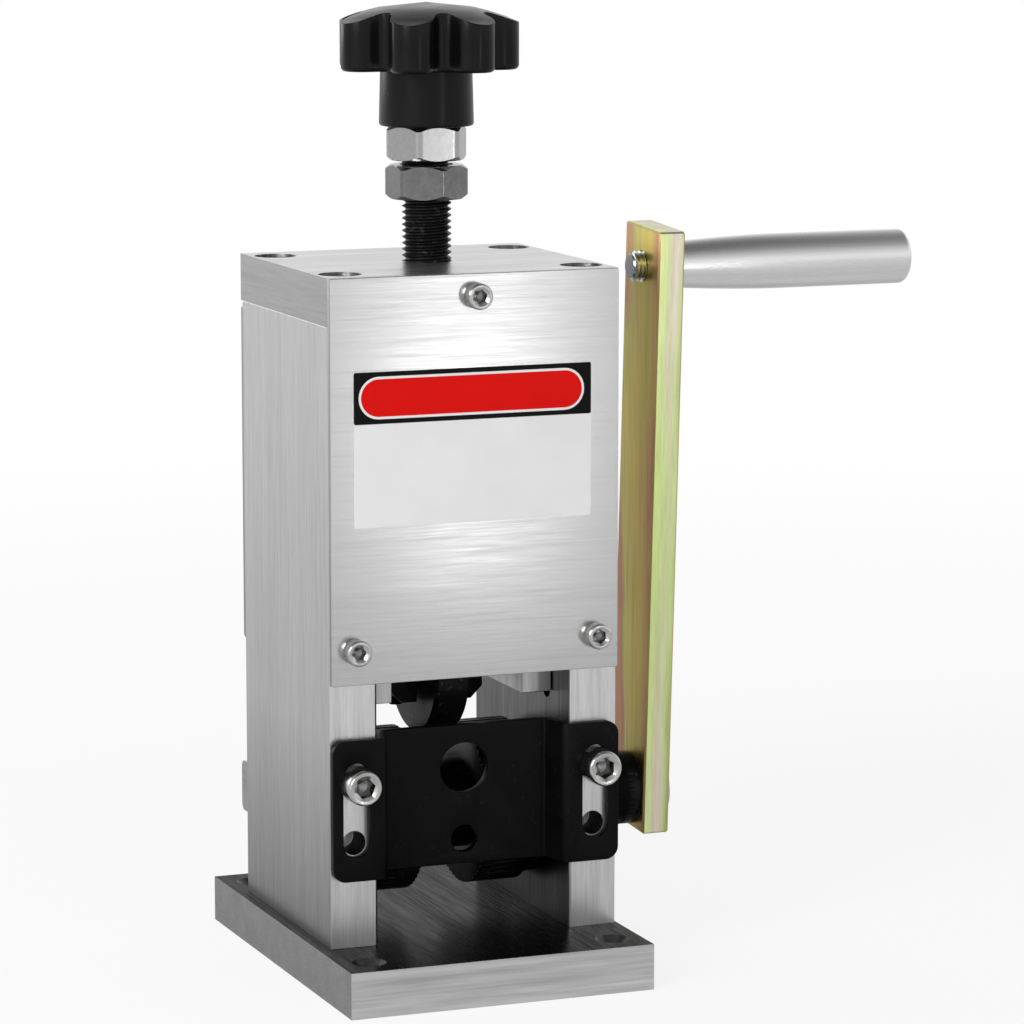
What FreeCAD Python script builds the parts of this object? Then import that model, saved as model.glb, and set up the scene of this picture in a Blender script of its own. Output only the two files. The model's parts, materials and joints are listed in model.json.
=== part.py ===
import FreeCAD, Part
import math
import os

import Sketcher

# Hand crank wire stripper: two thick side plates on a base, a top plate and two thin covers,
# a drive roller turned by a crank, and a round blade on a carriage that a star knob raises.
# Millimetres. X = 0 lies midway between the side plates and the crank is on +X, Y = 0 is the
# plane of the drive shaft and of the adjusting screw, with the front on -Y, and Z = 0 is the
# underside of the base.

document = FreeCAD.newDocument("wire_stripper")
sheet = document.addObject("Spreadsheet::Sheet", "Sizes")

# Driving sizes, each a plain number in its own cell
SIZES = {
    # base and plates
    "base_thickness": 15.0,
    "base_left_margin": 4.0,
    "base_right_margin": 1.0,
    "base_front_margin": 30.8,
    "base_back_margin": 24.6,
    "base_hole_inset_side": 10.0,
    "base_hole_inset_end": 11.5,
    "base_hole_radius": 2.9,
    "base_sink_radius": 5.5,
    "plate_gap": 66.0,
    "side_thickness": 16.0,
    "plate_depth": 85.0,
    "plate_height": 199.7,
    "plate_edge_break": 0.8,
    "top_thickness": 15.5,
    "frame_screw_inset": 10.5,
    "frame_screw_radius": 4.0,
    "frame_screw_length": 32.0,
    "frame_head_radius": 6.5,
    "frame_head_height": 8.0,
    "frame_sink_radius": 6.9,
    "frame_sink_depth": 9.0,
    # shares of a socket screw's head
    "head_ease_share": 0.12,
    "head_key_share": 0.98,
    "head_key_depth_share": 0.5,
    # covers
    "cover_thickness": 2.0,
    "cover_height": 129.6,
    "cover_corner": 2.5,
    "cover_screw_rise": 11.0,
    "cover_screw_drop": 7.1,
    "cover_screw_radius": 2.5,
    "cover_screw_length": 8.0,
    "cover_head_radius": 4.2,
    "cover_head_height": 5.0,
    # guide
    "guide_hang": 32.0,
    "guide_height": 45.8,
    "guide_sheet": 3.0,
    "guide_recess": 11.9,
    "guide_flare": 2.4,
    "guide_side_gap": 0.2,
    "guide_bend_radius": 0.7,
    "guide_corner": 4.3,
    "guide_slot_width": 9.0,
    "guide_slot_length": 30.6,
    "guide_slot_rise": 7.8,
    "guide_screw_height": 69.2,
    "guide_screw_drop": 20.0,
    "guide_screw_radius": 3.9,
    "guide_screw_length": 15.0,
    "guide_head_radius": 5.85,
    "guide_head_height": 8.8,
    "wire_hole_radius": 8.25,
    "wire_hole_rise": 31.6,
    "small_hole_radius": 4.5,
    "small_hole_rise": 8.2,
    # rear bar
    "rear_bar_bottom": 42.3,
    "rear_bar_height": 17.0,
    "rear_bar_thickness": 5.6,
    "rear_bar_round": 2.5,
    "flat_head_radius": 4.5,
    "flat_key_share": 0.66,
    "flat_key_depth_share": 0.4,
    # shaft, roller and bushes
    "shaft_height": 50.1,
    "shaft_radius": 10.0,
    "running_gap": 0.05,
    "bush_wall": 3.95,
    "bush_length": 12.0,
    "shaft_exit_gap": 1.0,
    "roller_radius": 27.0,
    "roller_side_gap": 0.5,
    "roller_groove_half": 10.7,
    "roller_groove_radius": 15.0,
    "roller_band_half": 27.6,
    "roller_relief_width": 1.2,
    "roller_relief_radius": 23.0,
    "roller_collar_radius": 25.0,
    "knurl_count": 60.0,
    "knurl_depth": 0.8,
    "knurl_width": 1.6,
    "key_width": 6.0,
    "key_height": 6.0,
    "key_length": 40.0,
    # crank
    "hub_gap": 0.8,
    "hub_radius": 11.2,
    "hub_flange_radius": 12.3,
    "hub_flange_length": 4.9,
    "hub_screw_place": 57.0,
    "hub_screw_radius": 2.5,
    "hub_screw_recess": 0.2,
    "arm_standoff": 22.4,
    "arm_thickness": 9.3,
    "arm_width": 28.0,
    "arm_reach": 176.9,
    "arm_end": 13.0,
    "arm_lean": 3.3,
    "arm_edge_break": 0.6,
    "shaft_flat_half": 7.0,
    "shaft_nose_radius": 9.0,
    "shaft_nose_recess": 0.5,
    "crank_screw_radius": 3.0,
    "crank_screw_head_radius": 6.0,
    "crank_screw_head_wall": 1.2,
    "crank_screw_head_height": 2.6,
    "crank_screw_crown": 2.0,
    "crank_screw_key": 3.6,
    "crank_screw_key_depth": 1.8,
    "crank_screw_length": 18.0,
    "crank_screw_hole_spare": 1.0,
    "crank_washer_spread": 2.0,
    "stud_radius": 5.0,
    "stud_proud": 4.3,
    "stud_end_break": 0.8,
    "stud_key": 5.85,
    "stud_key_depth": 2.7,
    "spindle_radius": 4.5,
    "washer_radius": 8.0,
    "washer_thickness": 1.5,
    "grip_gap": 0.3,
    "grip_length": 83.7,
    "grip_neck_radius": 7.6,
    "grip_radius": 9.1,
    "grip_neck_length": 38.0,
    "grip_neck_swell": 0.46,
    "grip_end_round": 2.0,
    "grip_sink_radius": 6.6,
    "grip_sink_depth": 8.0,
    "spindle_head_radius": 6.2,
    "spindle_head_height": 4.5,
    "spindle_head_gap": 0.2,
    # carriage, yoke and blade
    "blade_radius": 24.0,
    "blade_width": 11.7,
    "blade_overlap": 2.3,
    "blade_edge_break": 0.8,
    "blade_bush_radius": 8.0,
    "axle_radius": 5.0,
    "axle_recess": 0.5,
    "side_washer_thickness": 0.8,
    "side_washer_radius": 9.0,
    "side_washer_gap": 0.2,
    "yoke_half_width": 16.0,
    "yoke_foot": 12.6,
    "yoke_half_depth": 8.0,
    "yoke_foot_chamfer": 4.0,
    "crown_gap": 2.2,
    "crown_thickness": 14.0,
    "crown_half_depth": 25.0,
    "bridge_thickness": 24.0,
    "carriage_half_depth": 27.2,
    "carriage_side_gap": 0.3,
    "leg_width": 10.1,
    "leg_drop": 8.3,
    "rail_offset": 22.5,
    "rail_width": 6.0,
    "rail_gap": 0.2,
    "rail_reach": 3.8,
    "rail_seat": 2.5,
    "rail_bottom_gap": 0.3,
    "rail_rise": 9.0,
    "channel_drop": 2.8,
    "yoke_screw_radius": 3.0,
    "yoke_screw_head_radius": 5.0,
    "yoke_screw_head_height": 6.0,
    "yoke_screw_half_x": 9.0,
    "yoke_screw_half_y": 19.0,
    "yoke_screw_bite": 10.0,
    "yoke_screw_sink": 7.0,
    "axle_screw_radius": 2.5,
    "axle_screw_proud": 1.7,
    "axle_screw_end_break": 0.5,
    # keeper and adjusting screw
    "keeper_thickness": 5.0,
    "keeper_half_x": 20.0,
    "keeper_half_y": 12.5,
    "keeper_split": 0.6,
    "keeper_screw_x": 15.0,
    "keeper_screw_y": 7.5,
    "keeper_screw_radius": 2.0,
    "keeper_screw_head_radius": 3.5,
    "keeper_screw_head_height": 4.0,
    "keeper_screw_length": 14.0,
    "screw_radius": 8.0,
    "journal_radius": 6.0,
    "collar_radius": 9.2,
    "collar_thickness": 5.8,
    "collar_play": 0.1,
    "collar_room": 0.6,
    "journal_rise": 2.0,
    "exposed_thread": 20.2,
    "nut_across_flats": 23.9,
    "nut_height": 11.0,
    "nut_gap": 1.5,
    "lower_nut_turn": 34.4,
    "upper_nut_turn": 58.1,
    # star knob
    "knob_radius": 30.0,
    "knob_lobe_radius": 7.0,
    "knob_valley_radius": 20.5,
    "knob_hub_radius": 15.4,
    "knob_hub_taper": 0.5,
    "knob_hub_break": 1.0,
    "knob_hub_overlap": 1.0,
    "knob_hub_height": 18.0,
    "knob_rim_height": 15.4,
    "knob_dome_height": 6.3,
    "knob_turn": 33.0,
    "insert_radius": 11.0,
    "insert_depth": 24.0,
    "knob_edge_round": 2.5,
    "knob_lobes": 7.0,
}

for row, (name, size) in enumerate(SIZES.items(), start=1):
    sheet.set("A%d" % row, name)
    sheet.set("B%d" % row, str(size))
    sheet.setAlias("B%d" % row, name)
document.recompute()


def named(text):
    """Turn bare size names in an expression into references to the sheet."""
    words = []
    word = ""
    for letter in text + " ":
        if letter.isalnum() or letter in "_.":
            word += letter
            continue
        words.append("Sizes." + word if word in SIZES else word)
        words.append(letter)
        word = ""
    return "".join(words).strip()


def value(text):
    """The number that an expression on the sheet's sizes gives."""
    return float(sheet.evalExpression(named(text)))


# Places that several pieces share, as expressions on the sizes
INNER = "(plate_gap / 2)"
OUTER = "(plate_gap / 2 + side_thickness)"
MID_PLATE = "(plate_gap / 2 + side_thickness / 2)"
FRONT = "(-plate_depth / 2)"
BACK = "(plate_depth / 2)"
PLATE_TOP = "(base_thickness + plate_height)"
LID_TOP = "(base_thickness + plate_height + top_thickness)"
GUIDE_BOTTOM = "(guide_screw_height - guide_hang)"
COVER_BOTTOM = "(base_thickness + plate_height + top_thickness - cover_height)"
BLADE_Z = "(shaft_height + roller_radius + blade_radius - blade_overlap)"
CROWN_BOTTOM = "(%s + blade_radius + crown_gap)" % BLADE_Z
BRIDGE_BOTTOM = "(%s + crown_thickness)" % CROWN_BOTTOM
BRIDGE_TOP = "(%s + bridge_thickness)" % BRIDGE_BOTTOM
KEEPER_TOP = "(%s + keeper_thickness)" % BRIDGE_TOP
LEG_BOTTOM = "(%s - leg_drop)" % BLADE_Z
CARRIAGE_SIDE = "(plate_gap / 2 - carriage_side_gap)"
LEG_INNER = "(plate_gap / 2 - carriage_side_gap - leg_width)"
FORK_HALF_GAP = "(blade_width / 2 + side_washer_thickness + side_washer_gap)"
RAIL_BOTTOM = "(%s + rail_rise)" % LEG_BOTTOM
CHANNEL_BOTTOM = "(%s - channel_drop)" % LEG_BOTTOM
BUSH_RADIUS = "(shaft_radius + running_gap + bush_wall)"
ARM_INNER = "(%s + arm_standoff)" % OUTER
ARM_OUTER = "(%s + arm_thickness)" % ARM_INNER
WASHER_OUTER = "(%s + washer_thickness)" % ARM_OUTER
GRIP_START = "(%s + grip_gap)" % WASHER_OUTER
GRIP_END = "(%s + grip_length)" % GRIP_START
NUT_BOTTOM = "(%s + exposed_thread)" % LID_TOP
UPPER_NUT_BOTTOM = "(%s + nut_height + nut_gap)" % NUT_BOTTOM
KNOB_BOTTOM = "(%s + nut_height)" % UPPER_NUT_BOTTOM
KNOB_RIM_BOTTOM = "(%s + knob_hub_height)" % KNOB_BOTTOM
KNOB_RIM_TOP = "(%s + knob_rim_height)" % KNOB_RIM_BOTTOM
KNOB_TOP = "(%s + knob_dome_height)" % KNOB_RIM_TOP

# The way each origin plane's normal points along its world axis, and the way a pocket cuts from it
PLANES = {"XY_Plane": (1, -1), "XZ_Plane": (-1, 1), "YZ_Plane": (1, -1)}

FACING = {
    "up": FreeCAD.Rotation(),
    "down": FreeCAD.Rotation(FreeCAD.Vector(1, 0, 0), 180),
    "front": FreeCAD.Rotation(FreeCAD.Vector(1, 0, 0), 90),
    "back": FreeCAD.Rotation(FreeCAD.Vector(1, 0, 0), -90),
    "right": FreeCAD.Rotation(FreeCAD.Vector(0, 1, 0), 90),
    "left": FreeCAD.Rotation(FreeCAD.Vector(0, 1, 0), -90),
}

nodes = {}


def keep(name, piece):
    """Register a finished piece under its node name."""
    piece.Label = name
    nodes[name] = piece
    return piece


def bind(piece, field, text):
    piece.setExpression(field, named(text))


def place(piece, x="0", y="0", z="0", facing="up"):
    """Stand a piece at a point, its own +Z turned to face the given way."""
    piece.Placement = FreeCAD.Placement(FreeCAD.Vector(), FACING[facing])
    bind(piece, "Placement.Base.x", x)
    bind(piece, "Placement.Base.y", y)
    bind(piece, "Placement.Base.z", z)
    return piece


def new_body(name):
    return document.addObject("PartDesign::Body", name)


def sketch_on(body, role, at="0"):
    """A sketch on one of the body's own origin planes, moved along its normal to a place."""
    plane = [feature for feature in body.Origin.OriginFeatures if feature.Role == role][0]
    sketch = body.newObject("Sketcher::SketchObject", body.Name + "_sketch")
    sketch.AttachmentSupport = [(plane, "")]
    sketch.MapMode = "FlatFace"
    bind(sketch, "AttachmentOffset.Base.z", "%d * (%s)" % (PLANES[role][0], at))
    return sketch


def pin_point(sketch, edge, end, x, y):
    """Fix a point of the sketch to expressions for its two coordinates."""
    for kind, axis, text, index in (("DistanceX", -2, x, 0), ("DistanceY", -1, y, 1)):
        if text == "0":
            sketch.addConstraint(Sketcher.Constraint("PointOnObject", edge, end, axis))
            continue
        constraint = Sketcher.Constraint(kind, -1, 1, edge, end, value(text))
        bind(sketch, "Constraints[%d]" % sketch.addConstraint(constraint), text)


def draw_outline(sketch, corners):
    """A closed outline of straight lines through corners given as pairs of expressions."""
    points = [FreeCAD.Vector(value(x), value(y), 0) for x, y in corners]
    first = sketch.GeometryCount
    count = len(points)
    for index in range(count):
        sketch.addGeometry(Part.LineSegment(points[index], points[(index + 1) % count]))
    for index in range(count):
        follower = first + (index + 1) % count
        sketch.addConstraint(Sketcher.Constraint("Coincident", first + index, 2, follower, 1))
    for index, (x, y) in enumerate(corners):
        pin_point(sketch, first + index, 1, x, y)


def draw_rectangle(sketch, x_low, x_high, y_low, y_high):
    draw_outline(sketch, [(x_low, y_low), (x_high, y_low), (x_high, y_high), (x_low, y_high)])


def draw_circle(sketch, x, y, radius):
    centre = FreeCAD.Vector(value(x), value(y), 0)
    edge = sketch.addGeometry(Part.Circle(centre, FreeCAD.Vector(0, 0, 1), value(radius)))
    pin_point(sketch, edge, 3, x, y)
    constraint = Sketcher.Constraint("Radius", edge, value(radius))
    bind(sketch, "Constraints[%d]" % sketch.addConstraint(constraint), radius)


def draw_upright_slot(sketch, x, y_low, y_high, radius):
    """A slot with round ends whose lower and upper centres are given."""
    up = FreeCAD.Vector(0, 0, 1)
    low = FreeCAD.Vector(value(x), value(y_low), 0)
    high = FreeCAD.Vector(value(x), value(y_high), 0)
    size = value(radius)
    side = FreeCAD.Vector(size, 0, 0)
    lower = sketch.addGeometry(Part.ArcOfCircle(Part.Circle(low, up, size), math.pi, 2 * math.pi))
    upper = sketch.addGeometry(Part.ArcOfCircle(Part.Circle(high, up, size), 0, math.pi))
    right = sketch.addGeometry(Part.LineSegment(low + side, high + side))
    left = sketch.addGeometry(Part.LineSegment(high - side, low - side))
    for joint in ((lower, 2, right, 1), (right, 2, upper, 1), (upper, 2, left, 1), (left, 2, lower, 1)):
        sketch.addConstraint(Sketcher.Constraint("Tangent", *joint))
    pin_point(sketch, lower, 3, x, y_low)
    pin_point(sketch, upper, 3, x, y_high)
    constraint = Sketcher.Constraint("Radius", lower, size)
    bind(sketch, "Constraints[%d]" % sketch.addConstraint(constraint), radius)


def hexagon(across_flats, turn="0"):
    """The corners of a hexagon about the sketch's origin."""
    corners = []
    for step in range(6):
        angle = "(%s + %d) * 1 deg" % (turn, 60 * step)
        reach = "(%s) / (2 * cos(30 deg))" % across_flats
        corners.append(("%s * cos(%s)" % (reach, angle), "%s * sin(%s)" % (reach, angle)))
    return corners


def pad(body, sketch, length, symmetric=False, reverse=False):
    feature = body.newObject("PartDesign::Pad", body.Name + "_pad")
    feature.Profile = sketch
    feature.SideType = "Symmetric" if symmetric else "One side"
    feature.Reversed = reverse
    bind(feature, "Length", length)
    document.recompute()
    return feature


def pocket(body, sketch, depth, towards=1, symmetric=False):
    """Cut a sketch into the body, towards +1 or -1 along the plane's world axis."""
    role = sketch.AttachmentSupport[0][0].Role
    before = body.Shape.Volume
    feature = body.newObject("PartDesign::Pocket", body.Name + "_pocket")
    feature.Profile = sketch
    feature.SideType = "Symmetric" if symmetric else "One side"
    feature.Reversed = towards != PLANES[role][1]
    bind(feature, "Length", depth)
    document.recompute()
    if body.Shape.Volume >= before:
        raise RuntimeError("a pocket of %s cuts nothing" % body.Name)
    return feature


def revolve(body, profile):
    """Turn a profile of (radius, height) corners about the body's own Z axis."""
    sketch = sketch_on(body, "XZ_Plane")
    draw_outline(sketch, profile)
    feature = body.newObject("PartDesign::Revolution", body.Name + "_turned")
    feature.Profile = sketch
    feature.ReferenceAxis = (sketch, ["V_Axis"])
    feature.Angle = 360
    document.recompute()
    return feature


def turned(name, profile, x="0", y="0", z="0", facing="up"):
    """A turned piece: its profile is (radius, height) corners, its axis stands as told."""
    body = new_body(name)
    revolve(body, profile)
    place(body, x, y, z, facing)
    return body


def edges_where(shape, test):
    """Names of the straight or round edges that a test on their middle and direction picks."""
    names = []
    for index, edge in enumerate(shape.Edges, start=1):
        middle = edge.valueAt((edge.FirstParameter + edge.LastParameter) / 2)
        along = edge.tangentAt((edge.FirstParameter + edge.LastParameter) / 2)
        if test(edge, middle, along):
            names.append("Edge%d" % index)
    return names


def dress(body, kind, size, test):
    """Round ("Fillet") or break ("Chamfer") the edges of the body that the test picks."""
    base = body.Tip
    picked = edges_where(base.Shape, test)
    feature = body.newObject("PartDesign::" + kind, body.Name + "_edges")
    feature.Base = (base, picked)
    bind(feature, "Radius" if kind == "Fillet" else "Size", size)
    document.recompute()
    return feature


def repeat(body, feature, count, axis="V_Axis"):
    """Repeat a feature evenly round the axis of its own sketch."""
    pattern = body.newObject("PartDesign::PolarPattern", body.Name + "_pattern")
    pattern.Originals = [feature]
    pattern.Axis = (feature.Profile[0], [axis])
    pattern.Angle = 360
    bind(pattern, "Occurrences", count)
    body.Tip = pattern
    document.recompute()
    return pattern


def group(name, pieces):
    """Equal pieces that share one node."""
    compound = document.addObject("Part::Compound", name)
    compound.Links = pieces
    return keep(name, compound)


def near(number, text):
    """Whether a number is the one that an expression gives, to a thousandth."""
    return abs(number - value(text)) < 0.001


def cap_screw(name, shank, length, head, head_height, spot, facing):
    """A socket cap screw: its head rests on z = 0 and its shank goes down from there."""
    body = new_body(name)
    ease = "(%s) * head_ease_share" % head
    revolve(body, [
        ("0", "-(%s)" % length),
        (shank, "-(%s)" % length),
        (shank, "0"),
        (head, "0"),
        (head, "%s - %s" % (head_height, ease)),
        ("%s - %s" % (head, ease), head_height),
        ("0", head_height),
    ])
    sketch = sketch_on(body, "XY_Plane", head_height)
    draw_outline(sketch, hexagon("(%s) * head_key_share" % head))
    pocket(body, sketch, "(%s) * head_key_depth_share" % head_height, towards=-1)
    return place(body, *spot, facing)


def flat_screw(name, shank, length, head, spot, facing):
    """A countersunk screw whose flat head ends at z = 0."""
    body = new_body(name)
    revolve(body, [
        ("0", "-(%s)" % length),
        (shank, "-(%s)" % length),
        (shank, "-(%s - %s)" % (head, shank)),
        (head, "0"),
        ("0", "0"),
    ])
    sketch = sketch_on(body, "XY_Plane")
    draw_outline(sketch, hexagon("(%s) * flat_key_share" % head))
    pocket(body, sketch, "(%s) * flat_key_depth_share" % head, towards=-1)
    return place(body, *spot, facing)


FRAME_SCREW_SPOTS = [
    (side + MID_PLATE, "%s(plate_depth / 2 - frame_screw_inset)" % end)
    for side in ("-", "") for end in ("-", "")
]


# Base plate with four countersunk bench holes and the sunk holes of the side plates' screws
def make_base():
    body = new_body("base_plate")
    left = "(-%s - base_left_margin)" % OUTER
    right = "(%s + base_right_margin)" % OUTER
    front = "(%s - base_front_margin)" % FRONT
    back = "(%s + base_back_margin)" % BACK
    outline = sketch_on(body, "XY_Plane")
    draw_rectangle(outline, left, right, front, back)
    pad(body, outline, "base_thickness")
    holes = sketch_on(body, "XY_Plane", "base_thickness")
    for x in (left + " + base_hole_inset_side", right + " - base_hole_inset_side"):
        for y in (front + " + base_hole_inset_end", back + " - base_hole_inset_end"):
            draw_circle(holes, x, y, "base_hole_radius")
    hole = body.newObject("PartDesign::Hole", "bench_holes")
    hole.Profile = holes
    hole.DepthType = "ThroughAll"
    hole.HoleCutType = "Countersink"
    hole.HoleCutCustomValues = True
    bind(hole, "Diameter", "2 * base_hole_radius")
    bind(hole, "HoleCutDiameter", "2 * base_sink_radius")
    hole.HoleCutCountersinkAngle = 90
    document.recompute()
    shanks = sketch_on(body, "XY_Plane")
    heads = sketch_on(body, "XY_Plane")
    for x, y in FRAME_SCREW_SPOTS:
        draw_circle(shanks, x, y, "frame_screw_radius")
        draw_circle(heads, x, y, "frame_sink_radius")
    pocket(body, shanks, "base_thickness")
    pocket(body, heads, "frame_sink_depth")
    keep("base_plate", body)


# Side plates: bearing seat, two milled channels for the carriage rails and the tapped holes
def make_side_plate(name, sign, way):
    body = new_body(name)
    inner = sign + INNER
    outline = sketch_on(body, "YZ_Plane", inner)
    draw_rectangle(outline, FRONT, BACK, "base_thickness", PLATE_TOP)
    pad(body, outline, "side_thickness", reverse=way < 0)
    dress(body, "Chamfer", "plate_edge_break",
          lambda edge, at, along: abs(along.z) > 0.9 and near(at.x, inner))
    seat = sketch_on(body, "YZ_Plane", inner)
    draw_circle(seat, "0", "shaft_height", BUSH_RADIUS)
    pocket(body, seat, "bush_length", towards=way)
    if way > 0:
        mouth = sketch_on(body, "YZ_Plane", inner)
        draw_circle(mouth, "0", "shaft_height", "shaft_radius + shaft_exit_gap")
        pocket(body, mouth, "side_thickness", towards=way)
    half = "(rail_width / 2 + rail_gap)"
    for side in ("-", ""):
        channel = sketch_on(body, "YZ_Plane", inner)
        draw_upright_slot(channel, side + "rail_offset", "%s + %s" % (CHANNEL_BOTTOM, half),
                          "%s + %s" % (PLATE_TOP, half), half)
        pocket(body, channel, "rail_reach + rail_bottom_gap", towards=way)
    middle = sign + MID_PLATE
    ends = sketch_on(body, "XY_Plane", PLATE_TOP)
    feet = sketch_on(body, "XY_Plane", "base_thickness")
    for y in ("-", ""):
        draw_circle(ends, middle, y + "(plate_depth / 2 - frame_screw_inset)", "frame_screw_radius")
        draw_circle(feet, middle, y + "(plate_depth / 2 - frame_screw_inset)", "frame_screw_radius")
    grip = "(frame_screw_length - top_thickness + frame_sink_depth)"
    pocket(body, ends, grip, towards=-1)
    pocket(body, feet, "(frame_screw_length - base_thickness + frame_sink_depth)", towards=1)
    face = sketch_on(body, "XZ_Plane", FRONT)
    draw_circle(face, middle, COVER_BOTTOM + " + cover_screw_rise", "cover_screw_radius")
    pocket(body, face, "cover_screw_length - cover_thickness", towards=1)
    taps = sketch_on(body, "XZ_Plane", FRONT)
    draw_circle(taps, middle, "guide_screw_height", "guide_screw_radius")
    draw_circle(taps, middle, "guide_screw_height - guide_screw_drop", "guide_screw_radius")
    pocket(body, taps, "guide_screw_length - guide_sheet", towards=1)
    rear = sketch_on(body, "XZ_Plane", BACK)
    draw_circle(rear, middle, COVER_BOTTOM + " + cover_screw_rise", "cover_screw_radius")
    draw_circle(rear, middle, PLATE_TOP + " - cover_screw_rise", "cover_screw_radius")
    pocket(body, rear, "cover_screw_length - cover_thickness", towards=-1)
    bar = sketch_on(body, "XZ_Plane", BACK)
    draw_circle(bar, middle, "rear_bar_bottom + rear_bar_height / 2", "cover_screw_radius")
    pocket(body, bar, "cover_screw_length", towards=-1)
    keep(name, body)


# Top plate: threaded bore of the adjusting screw, four sunk screw holes, one tapped front hole
def make_top_plate():
    body = new_body("top_plate")
    outline = sketch_on(body, "XY_Plane", PLATE_TOP)
    draw_rectangle(outline, "-" + OUTER, OUTER, FRONT, BACK + " + cover_thickness")
    pad(body, outline, "top_thickness")
    bore = sketch_on(body, "XY_Plane", LID_TOP)
    draw_circle(bore, "0", "0", "screw_radius + running_gap")
    pocket(body, bore, "top_thickness", towards=-1)
    shanks = sketch_on(body, "XY_Plane", LID_TOP)
    heads = sketch_on(body, "XY_Plane", LID_TOP)
    for x, y in FRAME_SCREW_SPOTS:
        draw_circle(shanks, x, y, "frame_screw_radius")
        draw_circle(heads, x, y, "frame_sink_radius")
    pocket(body, shanks, "top_thickness", towards=-1)
    pocket(body, heads, "frame_sink_depth", towards=-1)
    face = sketch_on(body, "XZ_Plane", FRONT)
    draw_circle(face, "0", LID_TOP + " - cover_screw_drop", "cover_screw_radius")
    pocket(body, face, "cover_screw_length - cover_thickness", towards=1)
    keep("top_plate", body)


FRONT_COVER_SPOTS = [
    ("0", LID_TOP + " - cover_screw_drop"),
    ("-" + MID_PLATE, COVER_BOTTOM + " + cover_screw_rise"),
    (MID_PLATE, COVER_BOTTOM + " + cover_screw_rise"),
]
REAR_COVER_SPOTS = [
    (side + MID_PLATE, level) for side in ("-", "")
    for level in (COVER_BOTTOM + " + cover_screw_rise", PLATE_TOP + " - cover_screw_rise")
]


# Thin sheet covers, with rounded corners
def make_cover(name, inner, top, spots):
    body = new_body(name)
    outline = sketch_on(body, "XZ_Plane", inner)
    draw_rectangle(outline, "-" + OUTER, OUTER, COVER_BOTTOM, top)
    for x, z in spots:
        draw_circle(outline, x, z, "cover_screw_radius")
    pad(body, outline, "cover_thickness", reverse=inner == BACK)
    dress(body, "Fillet", "cover_corner",
          lambda edge, at, along: abs(along.y) > 0.9 and near(abs(at.x), OUTER))
    keep(name, body)


def make_frame_screws():
    """The socket screws that hold the frame, the covers, the guide and the rear bar."""
    long_screw = ("frame_screw_radius", "frame_screw_length", "frame_head_radius",
                  "frame_head_height")
    short_screw = ("cover_screw_radius", "cover_screw_length", "cover_head_radius",
                   "cover_head_height")
    top = [cap_screw("top_screw_%d" % index, *long_screw,
                     (x, y, LID_TOP + " - frame_sink_depth"), "up")
           for index, (x, y) in enumerate(FRAME_SCREW_SPOTS, start=1)]
    group("top_plate_screws", top)
    base = [cap_screw("base_screw_%d" % index, *long_screw, (x, y, "frame_sink_depth"), "down")
            for index, (x, y) in enumerate(FRAME_SCREW_SPOTS, start=1)]
    group("base_plate_screws", base)
    front = [cap_screw("front_screw_%d" % index, *short_screw,
                       (x, FRONT + " - cover_thickness", z), "front")
             for index, (x, z) in enumerate(FRONT_COVER_SPOTS, start=1)]
    group("front_cover_screws", front)
    rear = [cap_screw("rear_screw_%d" % index, *short_screw,
                      (x, BACK + " + cover_thickness", z), "back")
            for index, (x, z) in enumerate(REAR_COVER_SPOTS, start=1)]
    group("rear_cover_screws", rear)
    guide = [cap_screw("guide_screw_%d" % index, "guide_screw_radius", "guide_screw_length",
                       "guide_head_radius", "guide_head_height",
                       (side + MID_PLATE, FRONT + " - guide_sheet", "guide_screw_height"), "front")
             for index, side in enumerate(("-", ""), start=1)]
    group("guide_screws", guide)
    bar = [flat_screw("rear_bar_screw_%d" % index, "cover_screw_radius",
                      "cover_screw_length + rear_bar_thickness", "flat_head_radius",
                      (side + MID_PLATE, BACK + " + rear_bar_thickness",
                       "rear_bar_bottom + rear_bar_height / 2"), "back")
           for index, side in enumerate(("-", ""), start=1)]
    group("rear_bar_screws", bar)


# Flat bar across the back, below the way the wire leaves
def make_rear_bar():
    body = new_body("rear_tie_bar")
    outline = sketch_on(body, "XZ_Plane", BACK)
    top = "rear_bar_bottom + rear_bar_height"
    draw_rectangle(outline, "-" + OUTER, OUTER, "rear_bar_bottom", top)
    pad(body, outline, "rear_bar_thickness", reverse=True)
    outer = BACK + " + rear_bar_thickness"
    middle = "rear_bar_bottom + rear_bar_height / 2"
    holes = sketch_on(body, "XZ_Plane", outer)
    for side in ("-", ""):
        draw_circle(holes, side + MID_PLATE, middle, "cover_screw_radius")
    hole = body.newObject("PartDesign::Hole", "bar_holes")
    hole.Profile = holes
    hole.DepthType = "ThroughAll"
    hole.Reversed = True
    hole.HoleCutType = "Countersink"
    hole.HoleCutCustomValues = True
    bind(hole, "Diameter", "2 * cover_screw_radius")
    bind(hole, "HoleCutDiameter", "2 * flat_head_radius")
    hole.HoleCutCountersinkAngle = 90
    document.recompute()
    dress(body, "Fillet", "rear_bar_round",
          lambda edge, at, along: abs(along.x) > 0.9 and near(at.y, outer))
    keep("rear_tie_bar", body)


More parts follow.
